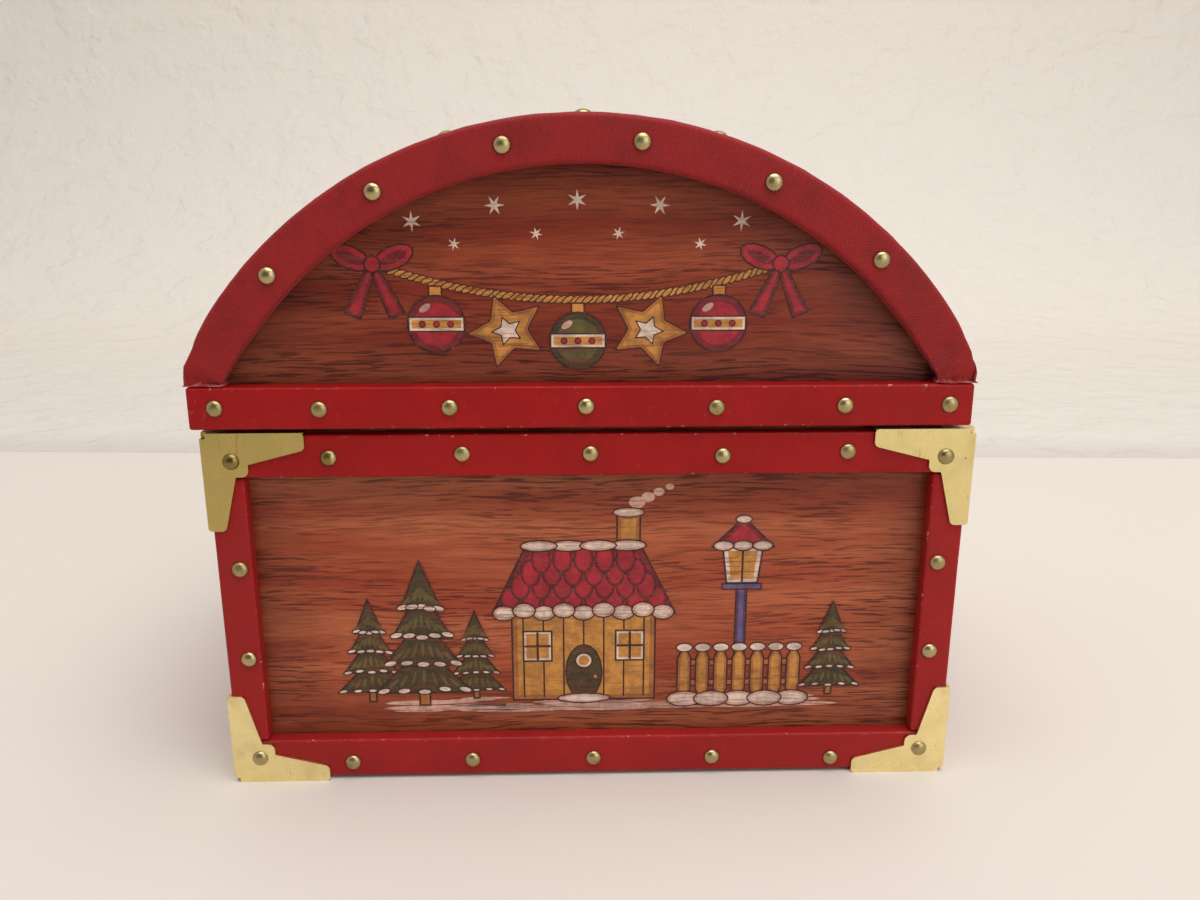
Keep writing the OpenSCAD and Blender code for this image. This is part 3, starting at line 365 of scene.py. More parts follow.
def bookcloth(f):
    """Fine plain-weave bookcloth along the piece's own UV map, with glue stains."""
    c = colours()
    across = f.parts(f.node("UVMap", uv_map="cloth").outputs[0])
    turn = math.pi / sizes().thread
    warp, weft = (f.math("SINE", f.times(across[i], turn)) for i in (0, 1))
    weave = f.times(warp, weft)
    stain = f.band(f.noise(f.at, 95, 5, 0.65), 0.45, 0.7)
    colour = f.mix(f.times(stain, 0.5), c.cloth, c.cloth_dark)
    thread = f.noise(f.stretch(f.vector(across[0], across[1], 0.0), 1900, 260, 1), 1, 2)
    colour = f.mix(f.band(thread, 0.4, 0.75, 0, 0.28), colour, scaled(c.cloth, 1.5))
    colour = f.mix(f.band(weave, -1, 0.4, 0.3, 0), colour, scaled(c.cloth_dark, 0.5))
    frayed = f.times(f.attribute("fray"), f.band(f.noise(f.at, 700, 3, 0.7), 0.45, 0.62))
    colour = f.mix(f.times(frayed, 0.55), colour, c.paint_worn_and_bounce)
    f.set(base_color=colour, roughness=f.band(stain, 0, 1, 0.62, 0.5))
    f.set(sheen_weight=0.06, sheen_roughness=0.5, specular_ior_level=0.22)
    f.bump(f.plus(weave, f.times(f.noise(f.at, 500, 3), 2.0)), 0.045 * MM)


def brass_finish(f, shown, tarnish, scratch):
    """Thin brass with smudges, fine scratches and a painted shadow line along its edges."""
    smudge = f.noise(f.at, 130, 5, 0.65)
    tarnish_and_reflection_tone = [shown[0] * 0.55, shown[1] * 0.5, shown[2] * 0.34]
    colour = f.mix(f.band(smudge, 0.42, 0.75, 0, tarnish), shown, tarnish_and_reflection_tone)
    # Painted reflection: the upper corners are darkened as if they reflected darker surroundings.
    colour = f.mix(f.attribute("patina"), colour, tarnish_and_reflection_tone)
    spots = flecks(f, 4 * MM, 0.45, 0.3 * MM)
    colour = f.mix(f.times(spots, 0.6), colour, srgb(70, 52, 24))
    first = f.noise(f.stretch(f.at, 3200, 3200, 170, turn=(0.3, 0.5, 0.2)), 1, 2)
    second = f.noise(f.stretch(f.at, 260, 2900, 2900, turn=(0.1, -0.4, 0.3)), 1, 2)
    lines = f.math("MAXIMUM", f.band(first, 0.63, 0.72), f.band(second, 0.64, 0.73))
    scraped = f.times(f.band(first, 0.6, 0.7), f.band(f.noise(f.at, 110, 3), 0.52, 0.62))
    colour = f.mix(f.times(scraped, 0.4), colour, srgb(92, 70, 36))
    # Painted shade: a dark line along the rounded edges, for the shadow line at the plate's rim.
    colour = f.mix(f.band(f.attribute("edge"), 0.2, 0.8, 0, 0.55), colour, srgb(92, 74, 36))
    rough = f.plus(f.band(smudge, 0.3, 0.75, 0.24, 0.42), f.times(lines, scratch))
    f.set(base_color=colour, roughness=rough, metallic=1.0)
    f.bump(f.noise(f.at, 160, 2), 0.012 * MM)


def metal_finish(f, shown, low, high, turned, grain=420):
    """Plain worked metal: slightly cloudy, with fine marks."""
    cloud = f.noise(f.at, grain, 4, 0.6)
    marks = f.noise(f.stretch(f.at, 900, 5200, 900), 1, 2)
    f.set(base_color=f.mix(f.band(cloud, 0.3, 0.7), scaled(shown, 0.7), shown), metallic=1.0)
    f.set(roughness=f.band(f.plus(cloud, f.times(marks, turned)), 0.3, 0.9, low, high))
    f.bump(marks, 0.01 * MM)


def felt_finish(f):
    """Short-haired felt."""
    felt = colours().felt
    hair = f.noise(f.at, 2300, 4, 0.75)
    cloud = f.noise(f.at, 120, 3)
    colour = f.mix(f.band(hair, 0.3, 0.7), scaled(felt, 0.5), scaled(felt, 1.35))
    f.set(base_color=f.mix(f.band(cloud, 0.3, 0.7, 0, 0.35), colour, scaled(felt, 0.55)))
    f.set(roughness=1.0, specular_ior_level=0.1, sheen_weight=0.4, sheen_roughness=0.4)
    f.bump(hair, 0.12 * MM)


def plain_wood(f):
    """Bare pale wood."""
    wood = colours().plain_wood
    line = f.noise(f.stretch(along_grain(f, "flat"), 16, 520, 300), 1, 4, 0.6)
    f.set(base_color=f.mix(f.band(line, 0.3, 0.7), scaled(wood, 0.62), wood))
    f.set(roughness=f.band(line, 0.3, 0.7, 0.6, 0.78), specular_ior_level=0.3)
    f.bump(line, 0.04 * MM)


def black_plastic(f):
    """Moulded black plastic."""
    black = colours().black
    fine = f.noise(f.at, 3000, 2)
    f.set(base_color=f.mix(fine, black, scaled(black, 1.6)), specular_ior_level=0.45)
    f.set(roughness=f.band(fine, 0.3, 0.7, 0.35, 0.5))
    f.bump(fine, 0.01 * MM)


def clear_plastic(f):
    """Clear acrylic sheet with faint wipe marks."""
    wipes = f.noise(f.stretch(f.at, 900, 120, 120), 1, 4, 0.7)
    f.set(base_color=srgb(247, 250, 250), roughness=f.band(wipes, 0.45, 0.8, 0.015, 0.12))
    f.set(ior=1.49, transmission_weight=1.0)


def material(build, name, *args):
    """A material that is built the first time it is asked for."""
    if name not in bpy.data.materials:
        build(Finish(name), *args)
    return bpy.data.materials[name]


def stamped_brass():
    return material(brass_finish, "Stamped brass", colours().brass, 0.35, 0.2)


def bright_steel():
    return material(metal_finish, "Steel", colours().steel, 0.22, 0.4, 0.4)


def pick(*objs):
    """Selects these objects alone; the first one is active."""
    bpy.ops.object.select_all(action="DESELECT")
    for obj in objs:
        obj.select_set(True)
    bpy.context.view_layer.objects.active = objs[0]


SELECT_MODES = {"vertices": "VERT", "edges": "EDGE"}


@contextmanager
def edit_mode(obj, kind=None, chosen=None):
    """Edit mode with everything selected, or only the vertices or edges that pass a test."""
    pick(obj)
    bpy.ops.object.mode_set(mode="EDIT")
    bpy.ops.mesh.select_all(action="SELECT")
    if kind:
        bpy.ops.mesh.select_mode(type=SELECT_MODES[kind])
        bpy.ops.mesh.select_all(action="DESELECT")
        bpy.ops.object.mode_set(mode="OBJECT")
        for each in getattr(obj.data, kind):
            each.select = bool(chosen(each))
        bpy.ops.object.mode_set(mode="EDIT")
    yield
    bpy.ops.object.mode_set(mode="OBJECT")


def modify(obj, kind, **settings):
    """Adds a modifier and applies it."""
    made = obj.modifiers.new(kind.title(), kind)
    for key, value in settings.items():
        setattr(made, key, value)
    pick(obj)
    bpy.ops.object.modifier_apply(modifier=made.name)


def settle(obj, size=None):
    """Gives a primitive its size and leaves its object at the origin."""
    if size is not None:
        obj.scale = size
    pick(obj)
    bpy.ops.object.transform_apply(location=True, rotation=True, scale=True)
    return obj


def points_of(obj):
    return np.array([v.co for v in obj.data.vertices])


def bar(low, high):
    """A box between two corners."""
    bpy.ops.mesh.primitive_cube_add(size=1, location=(low + high) / 2)
    return settle(bpy.context.object, high - low)


def cut_across(obj, step):
    """Cuts a bar every step along its longest side, so that it can be made uneven."""
    low, high = points_of(obj).min(0), points_of(obj).max(0)
    axis = int(np.argmax(high - low))
    normal = [float(i == axis) for i in range(3)]
    count = max(2, round((high - low)[axis] / step))
    for i in range(1, count):
        there = float((high - low)[axis] * i / count + low[axis])
        with edit_mode(obj):
            bpy.ops.mesh.bisect(plane_co=[there * n for n in normal], plane_no=normal)


def uneven(obj, depth, size, group=""):
    """Presses a surface in by up to depth, in hollows of about that size."""
    name = f"Hollows {size:.4f}"
    clouds = bpy.data.textures.get(name) or bpy.data.textures.new(name, "CLOUDS")
    clouds.noise_scale = size
    modify(obj, "DISPLACE", texture=clouds, texture_coords="LOCAL", strength=depth, mid_level=1.0,
           vertex_group=group)


def round_edges(obj, radius, segments=3, angle=40):
    """Rounds the sharp edges and drops the faces without area that this leaves in tight places."""
    modify(obj, "BEVEL", width=radius, segments=segments, limit_method="ANGLE",
           angle_limit=math.radians(angle), use_clamp_overlap=True)
    with edit_mode(obj):
        bpy.ops.mesh.dissolve_degenerate(threshold=0.001 * MM)


def smooth(obj, angle=35):
    """Shades a surface smooth across edges that turn by less than the angle."""
    pick(obj)
    bpy.ops.object.shade_smooth_by_angle(angle=math.radians(angle))
    modify(obj, "WEIGHTED_NORMAL", keep_sharp=True)


def mark(obj, name, values):
    """Stores a value for each vertex, for the material to read."""
    made = obj.data.attributes.new(name, "FLOAT", "POINT")
    made.data.foreach_set("value", np.asarray(values, np.float32))


def mark_none(obj, name):
    mark(obj, name, np.zeros(len(obj.data.vertices)))


def mark_edges(obj):
    """Marks what faces between two axes, as a rounded edge does."""
    turned = [1 - max(abs(x) for x in v.normal) for v in obj.data.vertices]
    mark(obj, "edge", np.clip(np.array(turned) / 0.25, 0, 1))


def mark_painted_reflection(obj):
    """Marks the brass of the chest's upper corners for a painted darker reflection, most of all at the
    front's left.
    """
    beside, above, below = 60 * MM, 60 * MM, 91 * MM
    values = []
    for x, y, z in points_of(obj):
        upper = abs(x) > beside and above < z < below
        values.append(upper * (1 if x < 0 and y < 0 else 0.45))
    mark(obj, "patina", values)


def dress(obj, name, node, finish):
    """Names a finished piece, gives it its material and has it stand for its CAD node."""
    obj.name = name
    obj.data.name = name
    obj.data.materials.clear()
    obj.data.materials.append(finish)
    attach(obj, body_of(NODES[node])[0])
    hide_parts(node)


def cad_copy(node):
    """A copy of a CAD node's mesh with its triangles joined up again."""
    obj = bpy.data.objects.new("copy", NODES[node].data.copy())
    bpy.context.collection.objects.link(obj)
    pick(obj)
    bpy.ops.mesh.customdata_custom_splitnormals_clear()
    with edit_mode(obj):
        bpy.ops.mesh.remove_doubles(threshold=0.001 * MM)
        bpy.ops.mesh.dissolve_limited(angle_limit=math.radians(0.4))
    return obj


def dress_copy(node, prefix, finish, radius, segments=2, painted_light_marks=False):
    """A finished piece from a CAD node: its edges are rounded, and marked brass gets the marks for its
    painted shadow line at the edges and its painted darker reflection.
    """
    obj = cad_copy(node)
    if radius:
        round_edges(obj, radius, segments)
    if painted_light_marks:
        mark_edges(obj)
        mark_painted_reflection(obj)
    smooth(obj)
    dress(obj, prefix + node, node, finish)


def join(pieces):
    pick(*pieces)
    if len(pieces) > 1:
        bpy.ops.object.join()
    return bpy.context.object


def solids(node):
    """The separate solids of a CAD node, each as an array of its points."""
    pick(cad_copy(node))
    bpy.ops.mesh.separate(type="LOOSE")
    parts = list(bpy.context.selected_objects)
    points = [points_of(part) for part in parts]
    for part in parts:
        bpy.data.meshes.remove(part.data)
    return sorted(points, key=lambda p: tuple(np.round(p.mean(0), 4)))


class Arch:
    """The circle of an arch band, from its CAD node: centre, radii, half width and corners."""

    def __init__(self, node):
        self.low, self.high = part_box(node)
        points = points_of(NODES[node])
        self.x = (self.low.x + self.high.x) / 2
        self.half = (self.high.x - self.low.x) / 2
        shoulder = points[points[:, 0] > self.high.x - 0.01 * MM, 2].max()
        sag = self.high.z - shoulder
        self.outer = (self.half ** 2 + sag ** 2) / (2 * sag)
        self.z = self.high.z - self.outer
        self.inner = self.nearest(points)

    def nearest(self, points):
        """Distance from the centre to the nearest of some points."""
        return float(np.hypot(points[:, 0] - self.x, points[:, 2] - self.z).min())


def bent_bar(arch, inner, low, high, rounding):
    """A bar bent round the arch: a rounded section is spun, cut level at its foot and square at its sides."""
    outer, foot = arch.outer, low[2]
    middle = (arch.x, (low[1] + high[1]) / 2, arch.z + (inner + outer) / 2)
    bpy.ops.mesh.primitive_plane_add(size=1, rotation=(0, math.pi / 2, 0), location=middle)
    obj = settle(bpy.context.object, (outer - inner, high[1] - low[1], 1))
    with edit_mode(obj):
        bpy.ops.mesh.bevel(offset=rounding, segments=4, affect="VERTICES")
        bpy.ops.mesh.delete(type="ONLY_FACE")

    def is_long(edge):
        first, second = (obj.data.vertices[i].co for i in edge.vertices)
        return (first - second).length > 2 * rounding

    with edit_mode(obj, "edges", is_long):
        bpy.ops.mesh.subdivide(number_cuts=5)
    reach = math.acos(max(-1, (foot - arch.z) / outer)) + math.radians(6)
    centre = Matrix.Translation((arch.x, 0, arch.z))
    obj.data.transform(centre @ Matrix.Rotation(-reach, 4, "Y") @ centre.inverted())
    with edit_mode(obj):
        bpy.ops.mesh.spin(steps=132, angle=-2 * reach, center=(arch.x, 0, arch.z), axis=(0, 1, 0))
    cuts = [((0, 0, foot), (0, 0, 1))]
    cuts += [((arch.x + side * arch.half, 0, 0), (-side, 0, 0)) for side in (-1, 1)]
    for place, normal in cuts:
        with edit_mode(obj):
            bpy.ops.mesh.bisect(plane_co=place, plane_no=normal, use_fill=True, clear_inner=True)
    with edit_mode(obj):
        bpy.ops.mesh.remove_doubles(threshold=0.002 * MM)
        bpy.ops.mesh.normals_make_consistent(inside=False)
    return obj


def lay_cloth(obj, arch):
    """UV map in metres: along the arch, and over its face or its edge."""
    layer = obj.data.uv_layers.new(name="cloth")
    for face in obj.data.polygons:
        on_face = abs(face.normal.y) > 0.7
        for i in face.loop_indices:
            point = obj.data.vertices[obj.data.loops[i].vertex_index].co
            across, up = point.x - arch.x, point.z - arch.z
            out = math.hypot(across, up)
            layer.data[i].uv = (math.atan2(across, up) * arch.outer, out if on_face else point.y)


def dress_cloth(obj, arch, name, node):
    smooth(obj, 50)
    lay_cloth(obj, arch)
    dress(obj, name, node, material(bookcloth, "Bookcloth"))


class PaintedStrips(bpy.types.Operator):
    """Red painted strips round the chest and along the lid"""

    bl_idname = "music_box.painted_strips"
    bl_label = "Painted strips"

    STRIPS = [f"{side}_{strip}" for side in ("front", "back", "left", "right")
              for strip in ("top_rail", "bottom_rail", "stiles")]
    STRIPS += ["lid_front_rail", "lid_back_rail", "lid_side_rails"]
    CUT, HOLLOW = 6 * MM, 7 * MM

    def execute(self, context):
        for node in self.STRIPS:
            bars = [bar(Vector(points.min(0)), Vector(points.max(0))) for points in solids(node)]
            for each in bars:
                cut_across(each, self.CUT)
            obj = join(bars)
            round_edges(obj, sizes().strip_round)
            mark_edges(obj)
            uneven(obj, sizes().sanding, self.HOLLOW)
            smooth(obj)
            dress(obj, "painted_" + node, node, material(red_paint, "Red paint"))
        return {"FINISHED"}


class VeneerPanels(bpy.types.Operator):
    """Veneered panels, the dome and the partition, and the plain floor and cleats"""

    bl_idname = "music_box.veneer_panels"
    bl_label = "Veneered panels"

    # Painted shade and red bounce of the recess under the arch, on the lid's panels.
    LID_PAINTED_SHADE = (0.68, 0.52, 0.52)

    def execute(self, context):
        arch = Arch("lid_front_arch")
        front = material(wood_finish, "Veneer front", "x", inside_field("front", 0))
        side = material(wood_finish, "Veneer side", "y", inside_field("left", 1))
        lid = material(wood_finish, "Veneer lid", "x", inside_arch(arch), None, self.LID_PAINTED_SHADE)
        dome = material(wood_finish, "Veneer dome", "y", None, arch)
        plain = material(wood_finish, "Veneer wall", "y")
        finishes = {
            "base_front_panel": front, "base_back_panel": front,
            "base_left_panel": side, "base_right_panel": side,
            "lid_front_panel": lid, "lid_back_panel": lid, "lid_dome": dome,
            "lid_side_walls": plain, "partition_wall": plain,
        }
        for node, finish in finishes.items():
            dress_copy(node, "veneer_", finish, sizes().panel_round)
        bare = material(plain_wood, "Plain wood")
        for node in ("base_floor", "cover_cleats"):
            dress_copy(node, "plain_", bare, sizes().panel_round)
        return {"FINISHED"}


class ClothArches(bpy.types.Operator):
    """Cloth-covered arches at both ends of the dome"""

    bl_idname = "music_box.cloth_arches"
    bl_label = "Cloth arches"

    HOLLOW, FOLD = 5 * MM, 4 * MM
    GLUED, CRUMPLED, FRAYED = 0.2 * MM, 15 * MM, 1.6 * MM

    def execute(self, context):
        s = sizes()
        for node in ("lid_front_arch", "lid_back_arch"):
            arch = Arch(node)
            obj = bent_bar(arch, arch.inner, arch.low, arch.high, s.arch_round)
            round_edges(obj, s.end_round, 2, 50)
            height = points_of(obj)[:, 2] - arch.low.z
            near = np.clip(1 - height / self.CRUMPLED, 0, 1) * (height > self.GLUED)
            ends = obj.vertex_groups.new(name="ends")
            for i, weight in enumerate(near):
                ends.add([i], float(weight), "REPLACE")
            uneven(obj, s.cloth_puff, self.HOLLOW)
            uneven(obj, s.end_crumple, self.FOLD, "ends")
            height = points_of(obj)[:, 2] - arch.low.z
            mark(obj, "fray", np.clip(0.6 - height / self.FRAYED, 0, 1))
            dress_cloth(obj, arch, "cloth_" + node, node)
        return {"FINISHED"}


class ClothBands(bpy.types.Operator):
    """Cloth bands stretched over the dome's edges"""

    bl_idname = "music_box.cloth_bands"
    bl_label = "Cloth bands"

    HOLLOW = 5 * MM

    def execute(self, context):
        arch = Arch("lid_front_arch")
        bands = sorted(solids("lid_top_bands"), key=lambda points: points[:, 1].mean())
        for side, points in zip(("front", "back"), bands):
            low, high = points.min(0), points.max(0)
            obj = bent_bar(arch, arch.nearest(points), low, high, sizes().band_round)
            uneven(obj, sizes().band_puff, self.HOLLOW)
            mark_none(obj, "fray")
            dress_cloth(obj, arch, f"cloth_{side}_band", "lid_top_bands")
        return {"FINISHED"}


class BrassCorners(bpy.types.Operator):
    """Stamped brass corners of the chest"""

    bl_idname = "music_box.brass_corners"
    bl_label = "Brass corners"

    def execute(self, context):
        for node in ("top_corner_brackets", "bottom_corner_brackets"):
            dress_copy(node, "brass_", stamped_brass(), sizes().corner_round, 3, painted_light_marks=True)
        return {"FINISHED"}


def nail_head(points, chance):
    """A dome, a little dented and leaning, set where the CAD nail's head is."""
    middle = points.mean(0)
    away = np.linalg.norm(points - middle, axis=1)
    tip = points[away > away.max() - 0.05 * MM].mean(0)
    axis = (middle - tip) / np.linalg.norm(middle - tip)
    along = (points - tip) @ axis
    out = np.linalg.norm(points - tip - np.outer(along, axis), axis=1)
    seat = along[out > out.max() - 0.02 * MM].mean()
    rise = along.max() - seat
    radius = 0.99 * out.max()
    bpy.ops.mesh.primitive_uv_sphere_add(segments=24, ring_count=12, radius=1)
    obj = bpy.context.object
    with edit_mode(obj):
        bpy.ops.mesh.bisect(plane_co=(0, 0, -0.02), plane_no=(0, 0, 1), use_fill=True, clear_inner=True)
    dent = 1 - 0.12 * chance.random()
    turn = Vector((0, 0, 1)).rotation_difference(Vector(axis)).to_matrix().to_4x4()
    spin = Matrix.Rotation(chance.uniform(0, math.tau), 4, "Z")
    lean = Matrix.Rotation(math.radians(chance.uniform(-5, 5)), 4, "X")
    place = Matrix.Translation(Vector(tip + axis * seat))
    grow = Matrix.Diagonal((radius, radius, rise * dent, 1))
    obj.data.transform(place @ turn @ spin @ lean @ grow)
    return obj


class DomeNails(bpy.types.Operator):
    """Dome-head nails on every strip"""

    bl_idname = "music_box.dome_nails"
    bl_label = "Dome-head nails"

    def execute(self, context):
        chance = random.Random(5)
        finish = material(brass_finish, "Nail brass", colours().nail_brass, 0.8, 0.15)
        for node in ("base_nails", "lid_nails"):
            obj = join([nail_head(points, chance) for points in solids(node)])
            mark_none(obj, "edge")
            mark_painted_reflection(obj)
            smooth(obj, 50)
            dress(obj, "dome_" + node, node, finish)
        return {"FINISHED"}


INKS = {
    "outline": (58, 24, 20), "gold": (200, 136, 62), "amber": (172, 104, 50), "cream": (226, 200, 182),
    "olive": (66, 56, 30), "leaf": (96, 86, 44), "crimson": (172, 30, 48), "wine": (120, 22, 36),
    "violet": (100, 84, 128), "dusk": (66, 52, 86), "snow": (208, 162, 144),
}
SNOWY, LIT = "outline snow cream", "outline cream gold"
RED, WOODEN = "outline wine crimson", "outline amber gold"
LINE = 0.45


def flat_shape(corners, wide, high, inks, *lines, notch=1.0, top=1.0, rounding=0.0):
    """A flat shape that faces front, about the origin, in millimetres; each ink rings the next one."""
    turn = math.radians(45) if corners == 4 else 0
    bpy.ops.mesh.primitive_circle_add(vertices=corners, radius=0.5, fill_type="NGON",
                                      rotation=(math.pi / 2, turn, 0))
    obj = settle(bpy.context.object)
    span = points_of(obj).max(0) - points_of(obj).min(0)
    settle(obj, (wide * MM / span[0], 1, high * MM / span[2]))
    changes = ((lambda v: v.index % 2, (notch, 1, notch)), (lambda v: v.co.z > 0, (top, 1, 1)))
    for chosen, factors in changes:
        if factors != (1, 1, 1):
            with edit_mode(obj, "vertices", chosen):
                bpy.ops.transform.resize(value=factors, center_override=(0, 0, 0))
    for name in inks.split():
        obj.data.materials.append(material(ink, "Ink " + name, *INKS[name]))
    with edit_mode(obj):
        if rounding:
            bpy.ops.mesh.bevel(offset=rounding * MM, segments=4, affect="VERTICES")
            bpy.ops.mesh.select_all(action="SELECT")
        bpy.ops.mesh.select_mode(type="FACE")
        for i, line in zip(range(1, len(obj.data.materials)), lines or [LINE]):
            bpy.ops.mesh.inset(thickness=line * MM)
            obj.active_material_index = i
            bpy.ops.object.material_slot_assign()
    return obj


class Picture:
    """A print on a panel: stamped shapes in a few thin layers of ink, joined in the end."""

    def __init__(self, panel):
        self.panel = panel
        self.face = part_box(panel)[0].y
        self.shapes = []
        self.prints = []

    def stamp(self, *args, **settings):
        """A stamp: each call of it prints a copy, placed in millimetres and turned clockwise."""
        shape = flat_shape(*args, **settings)
        self.shapes.append(shape)

        def press(x, z, layer, turn=0.0, size=1.0):
            obj = bpy.data.objects.new("print", shape.data.copy())
            bpy.context.collection.objects.link(obj)
            place = Matrix.Translation((x * MM, self.face - (layer + 1) * sizes().ink_step, z * MM))
            grow = Matrix.Diagonal((size, 1, size, 1))
            obj.data.transform(place @ Matrix.Rotation(math.radians(turn), 4, "Y") @ grow)
            self.prints.append(obj)
        return press

    def finish(self, name):
        for shape in self.shapes:
            bpy.data.meshes.remove(shape.data)
        obj = join(self.prints)
        modify(obj, "SOLIDIFY", thickness=sizes().ink_step, offset=-1)
        obj.name = name
        obj.data.name = name
        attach(obj, body_of(NODES[self.panel])[0])


def draw_ground(stamp, chance):
    """Snow on the ground."""
    stroke = stamp(12, 26, 1.3, "snow")
    for i in range(34):
        stroke(chance.uniform(-50, 52), chance.uniform(16.4, 20), i % 3, size=chance.uniform(0.4, 1.1))


def draw_fir(stamp, chance, x, foot, size, layer):
    """A fir of four tiers with needles and tufts of snow."""
    trunk = stamp(4, 3 * size, 5 * size, "outline amber")
    trunk(x, foot + 2 * size, layer)
    tuft = stamp(10, 3.4 * size, 1.8 * size, "outline cream", 0.28)
    needle = stamp(6, 0.8, 4 * size, "leaf")
    for i, (wide, low) in enumerate(((25, 3), (20, 10.5), (15.5, 18), (10.5, 25.5))):
        tier = stamp(3, wide * size, 13.5 * size, "outline olive")
        tier(x, foot + (low + 4.5) * size, layer + 2 * i + 1)
        for j in range(-3, 4):
            share = j / 3.4
            hang = foot + (low + 2.6 + 2.2 * (1 - abs(share))) * size
            needle(x + share * wide * size / 2.9, hang, layer + 2 * i + 2, -16 * j)
        for j in range(-2, 3):
            hang = foot + (low + 0.4 + chance.uniform(0, 0.8)) * size
            tuft(x + j * wide * size / 4.9, hang, layer + 2 * i + 2 + j % 2, 7 * j)


def draw_cottage(stamp, x):
    """A cottage with a tiled roof, a chimney and snow on both."""
    wall = stamp(4, 36, 25, WOODEN, 0.45, 1.1)
    wall(x, 31.5, 3)
    plank = stamp(4, 0.4, 23, "outline")
    for i in range(-3, 4):
        plank(x + 5 * i, 31.5, 4)
    chimney = stamp(4, 6, 15, WOODEN, 0.45, 0.8)
    chimney(x + 11, 61, 3)
    roof = stamp(4, 46, 18, RED, 0.5, 1.5, top=0.62)
    roof(x, 51.5, 5)
    tile = stamp(12, 5.1, 7.4, RED, 0.25, 0.45)
    for row, count in enumerate((8, 7, 6, 5)):
        for i in range(count):
            tile(x + 5.15 * (i - (count - 1) / 2), 46.6 + 3.5 * row, 6 + row)
    drift = stamp(12, 6, 4.4, SNOWY, 0.35, 0.6)
    for i in range(-4, 5):
        drift(x + 4.9 * i, 43 + 0.7 * (i % 2), 10 + i % 2)
    ridge = stamp(12, 9.5, 3.2, SNOWY, 0.35, 0.5)
    for i in range(-1, 3):
        ridge(x + 7.2 * i - 3.6, 60.6, 10 + i % 2)
    ridge(x + 11, 69, 6, size=0.85)
    puff = stamp(12, 4, 3, "snow")
    for i in range(4):
        puff(x + 13 + 2.6 * i, 71.5 + 1.3 * i, 2 + i % 2, size=1 - 0.16 * i)
    door = stamp(16, 9.5, 15.5, "outline olive")
    door(x, 26.8, 5)
    light = stamp(14, 4.4, 4.4, LIT, 0.35, 0.5)
    light(x, 30, 6)
    knob = stamp(8, 1.4, 1.4, "outline gold", 0.2)
    knob(x + 2.9, 25.5, 6)
    pane = stamp(4, 7.5, 8.5, LIT, 0.45, 0.5)
    across = stamp(4, 6.5, 0.6, "outline")
    up = stamp(4, 0.6, 7.5, "outline")
    for side in (-11.5, 11.5):
        pane(x + side, 34, 5)
        across(x + side, 34, 6)
        up(x + side, 34, 6)
    step = stamp(12, 14, 3, SNOWY, 0.35, 0.4)
    step(x, 19.6, 7)


def draw_lantern(stamp, x):
    """A lantern on a post."""
    post = stamp(4, 3, 32, "outline dusk violet", 0.4, 0.5)
    post(x, 34, 3)
    arm = stamp(4, 10, 1.8, "outline violet", 0.35)
    arm(x, 49.5, 4)
    glass = stamp(4, 8, 10, LIT, 0.45, 0.9, top=1.3)
    glass(x, 55.2, 3)
    rod = stamp(4, 0.5, 9, "outline")
    rod(x, 55.2, 4)
    roof = stamp(3, 16, 8, RED, 0.45, 0.8)
    roof(x, 62.4, 5)
    drift = stamp(12, 5.4, 3, SNOWY, 0.35, 0.4)
    for i in range(-1, 2):
        drift(x + 4.8 * i, 60.2, 6 + i % 2)
    drift(x, 67, 6, size=0.8)


def draw_fence(stamp, x):
    """A picket fence in the snow."""
    rail = stamp(4, 31, 2, "outline amber", 0.4)
    for z in (23.5, 29):
        rail(x, z, 6)
    picket = stamp(6, 3.7, 17, WOODEN, 0.4, 0.55)
    cap = stamp(12, 4.4, 2.6, "outline cream", 0.3)
    for i in range(-3, 4):
        picket(x + 4.6 * i, 26, 7)
        cap(x + 4.6 * i, 33.2, 8)
    drift = stamp(14, 9, 4.6, SNOWY, 0.35, 0.6)
    for i in range(-2, 3):
        drift(x + 6.8 * i, 19, 9 + i % 2)


class ChestPicture(bpy.types.Operator):
    """Print on the chest's front: a snowed-in cottage, firs, a fence and a lantern"""

    bl_idname = "music_box.chest_picture"
    bl_label = "Chest picture"

    FIRS = ((-55, 19.5, 0.72, 2), (-29, 20, 0.62, 2), (-42, 18.5, 1.0, 11), (60, 20, 0.66, 11))
    COTTAGE, LANTERN = -2, 37

    def execute(self, context):
        picture = Picture("base_front_panel")
        chance = random.Random(8)
        draw_ground(picture.stamp, chance)
        for fir in self.FIRS:
            draw_fir(picture.stamp, chance, *fir)
        draw_cottage(picture.stamp, self.COTTAGE)
        draw_lantern(picture.stamp, self.LANTERN)
        draw_fence(picture.stamp, self.LANTERN)
        picture.finish("printed_chest_picture")
        return {"FINISHED"}


CORD_MIDDLE, CORD_HALF, CORD_LOW, CORD_RISE = -3, 46, 120, 8
CORD_TWISTS = 62


def hang(share):
    """Point of the cord at a share of its half width, and its slope there in degrees."""
    slope = math.atan(2 * CORD_RISE * share / CORD_HALF)
    return CORD_MIDDLE + CORD_HALF * share, CORD_LOW + CORD_RISE * share ** 2, math.degrees(slope)


def draw_cord(stamp):
    """The slack cord that the rest hangs on."""
    twist = stamp(8, 3.4, 1.6, "outline gold", 0.28)
    for i in range(CORD_TWISTS):
        x, z, slope = hang(2 * i / (CORD_TWISTS - 1) - 1)
        twist(x, z, i % 3, -slope - 34)


def draw_bauble(stamp, share, inks):
    """A bauble with a belt of beads."""
    x, z, _ = hang(share)
    cap = stamp(4, 3.2, 2.8, "outline gold", 0.35)
    cap(x, z - 2, 4)
    ball = stamp(24, 13.5, 13.5, inks, 0.45, 1.3)
    ball(x, z - 9.4, 5)
    belt = stamp(4, 12.9, 3.6, LIT, 0.35, 0.5)
    belt(x, z - 9.4, 6)
    bead = stamp(8, 1.7, 1.7, "outline crimson", 0.25)
    for i in range(-1, 2):
        bead(x + 3.2 * i, z - 9.4, 7)
    shine = stamp(10, 2.8, 1.5, "snow")
    shine(x - 2.5, z - 5.7, 6, -35)


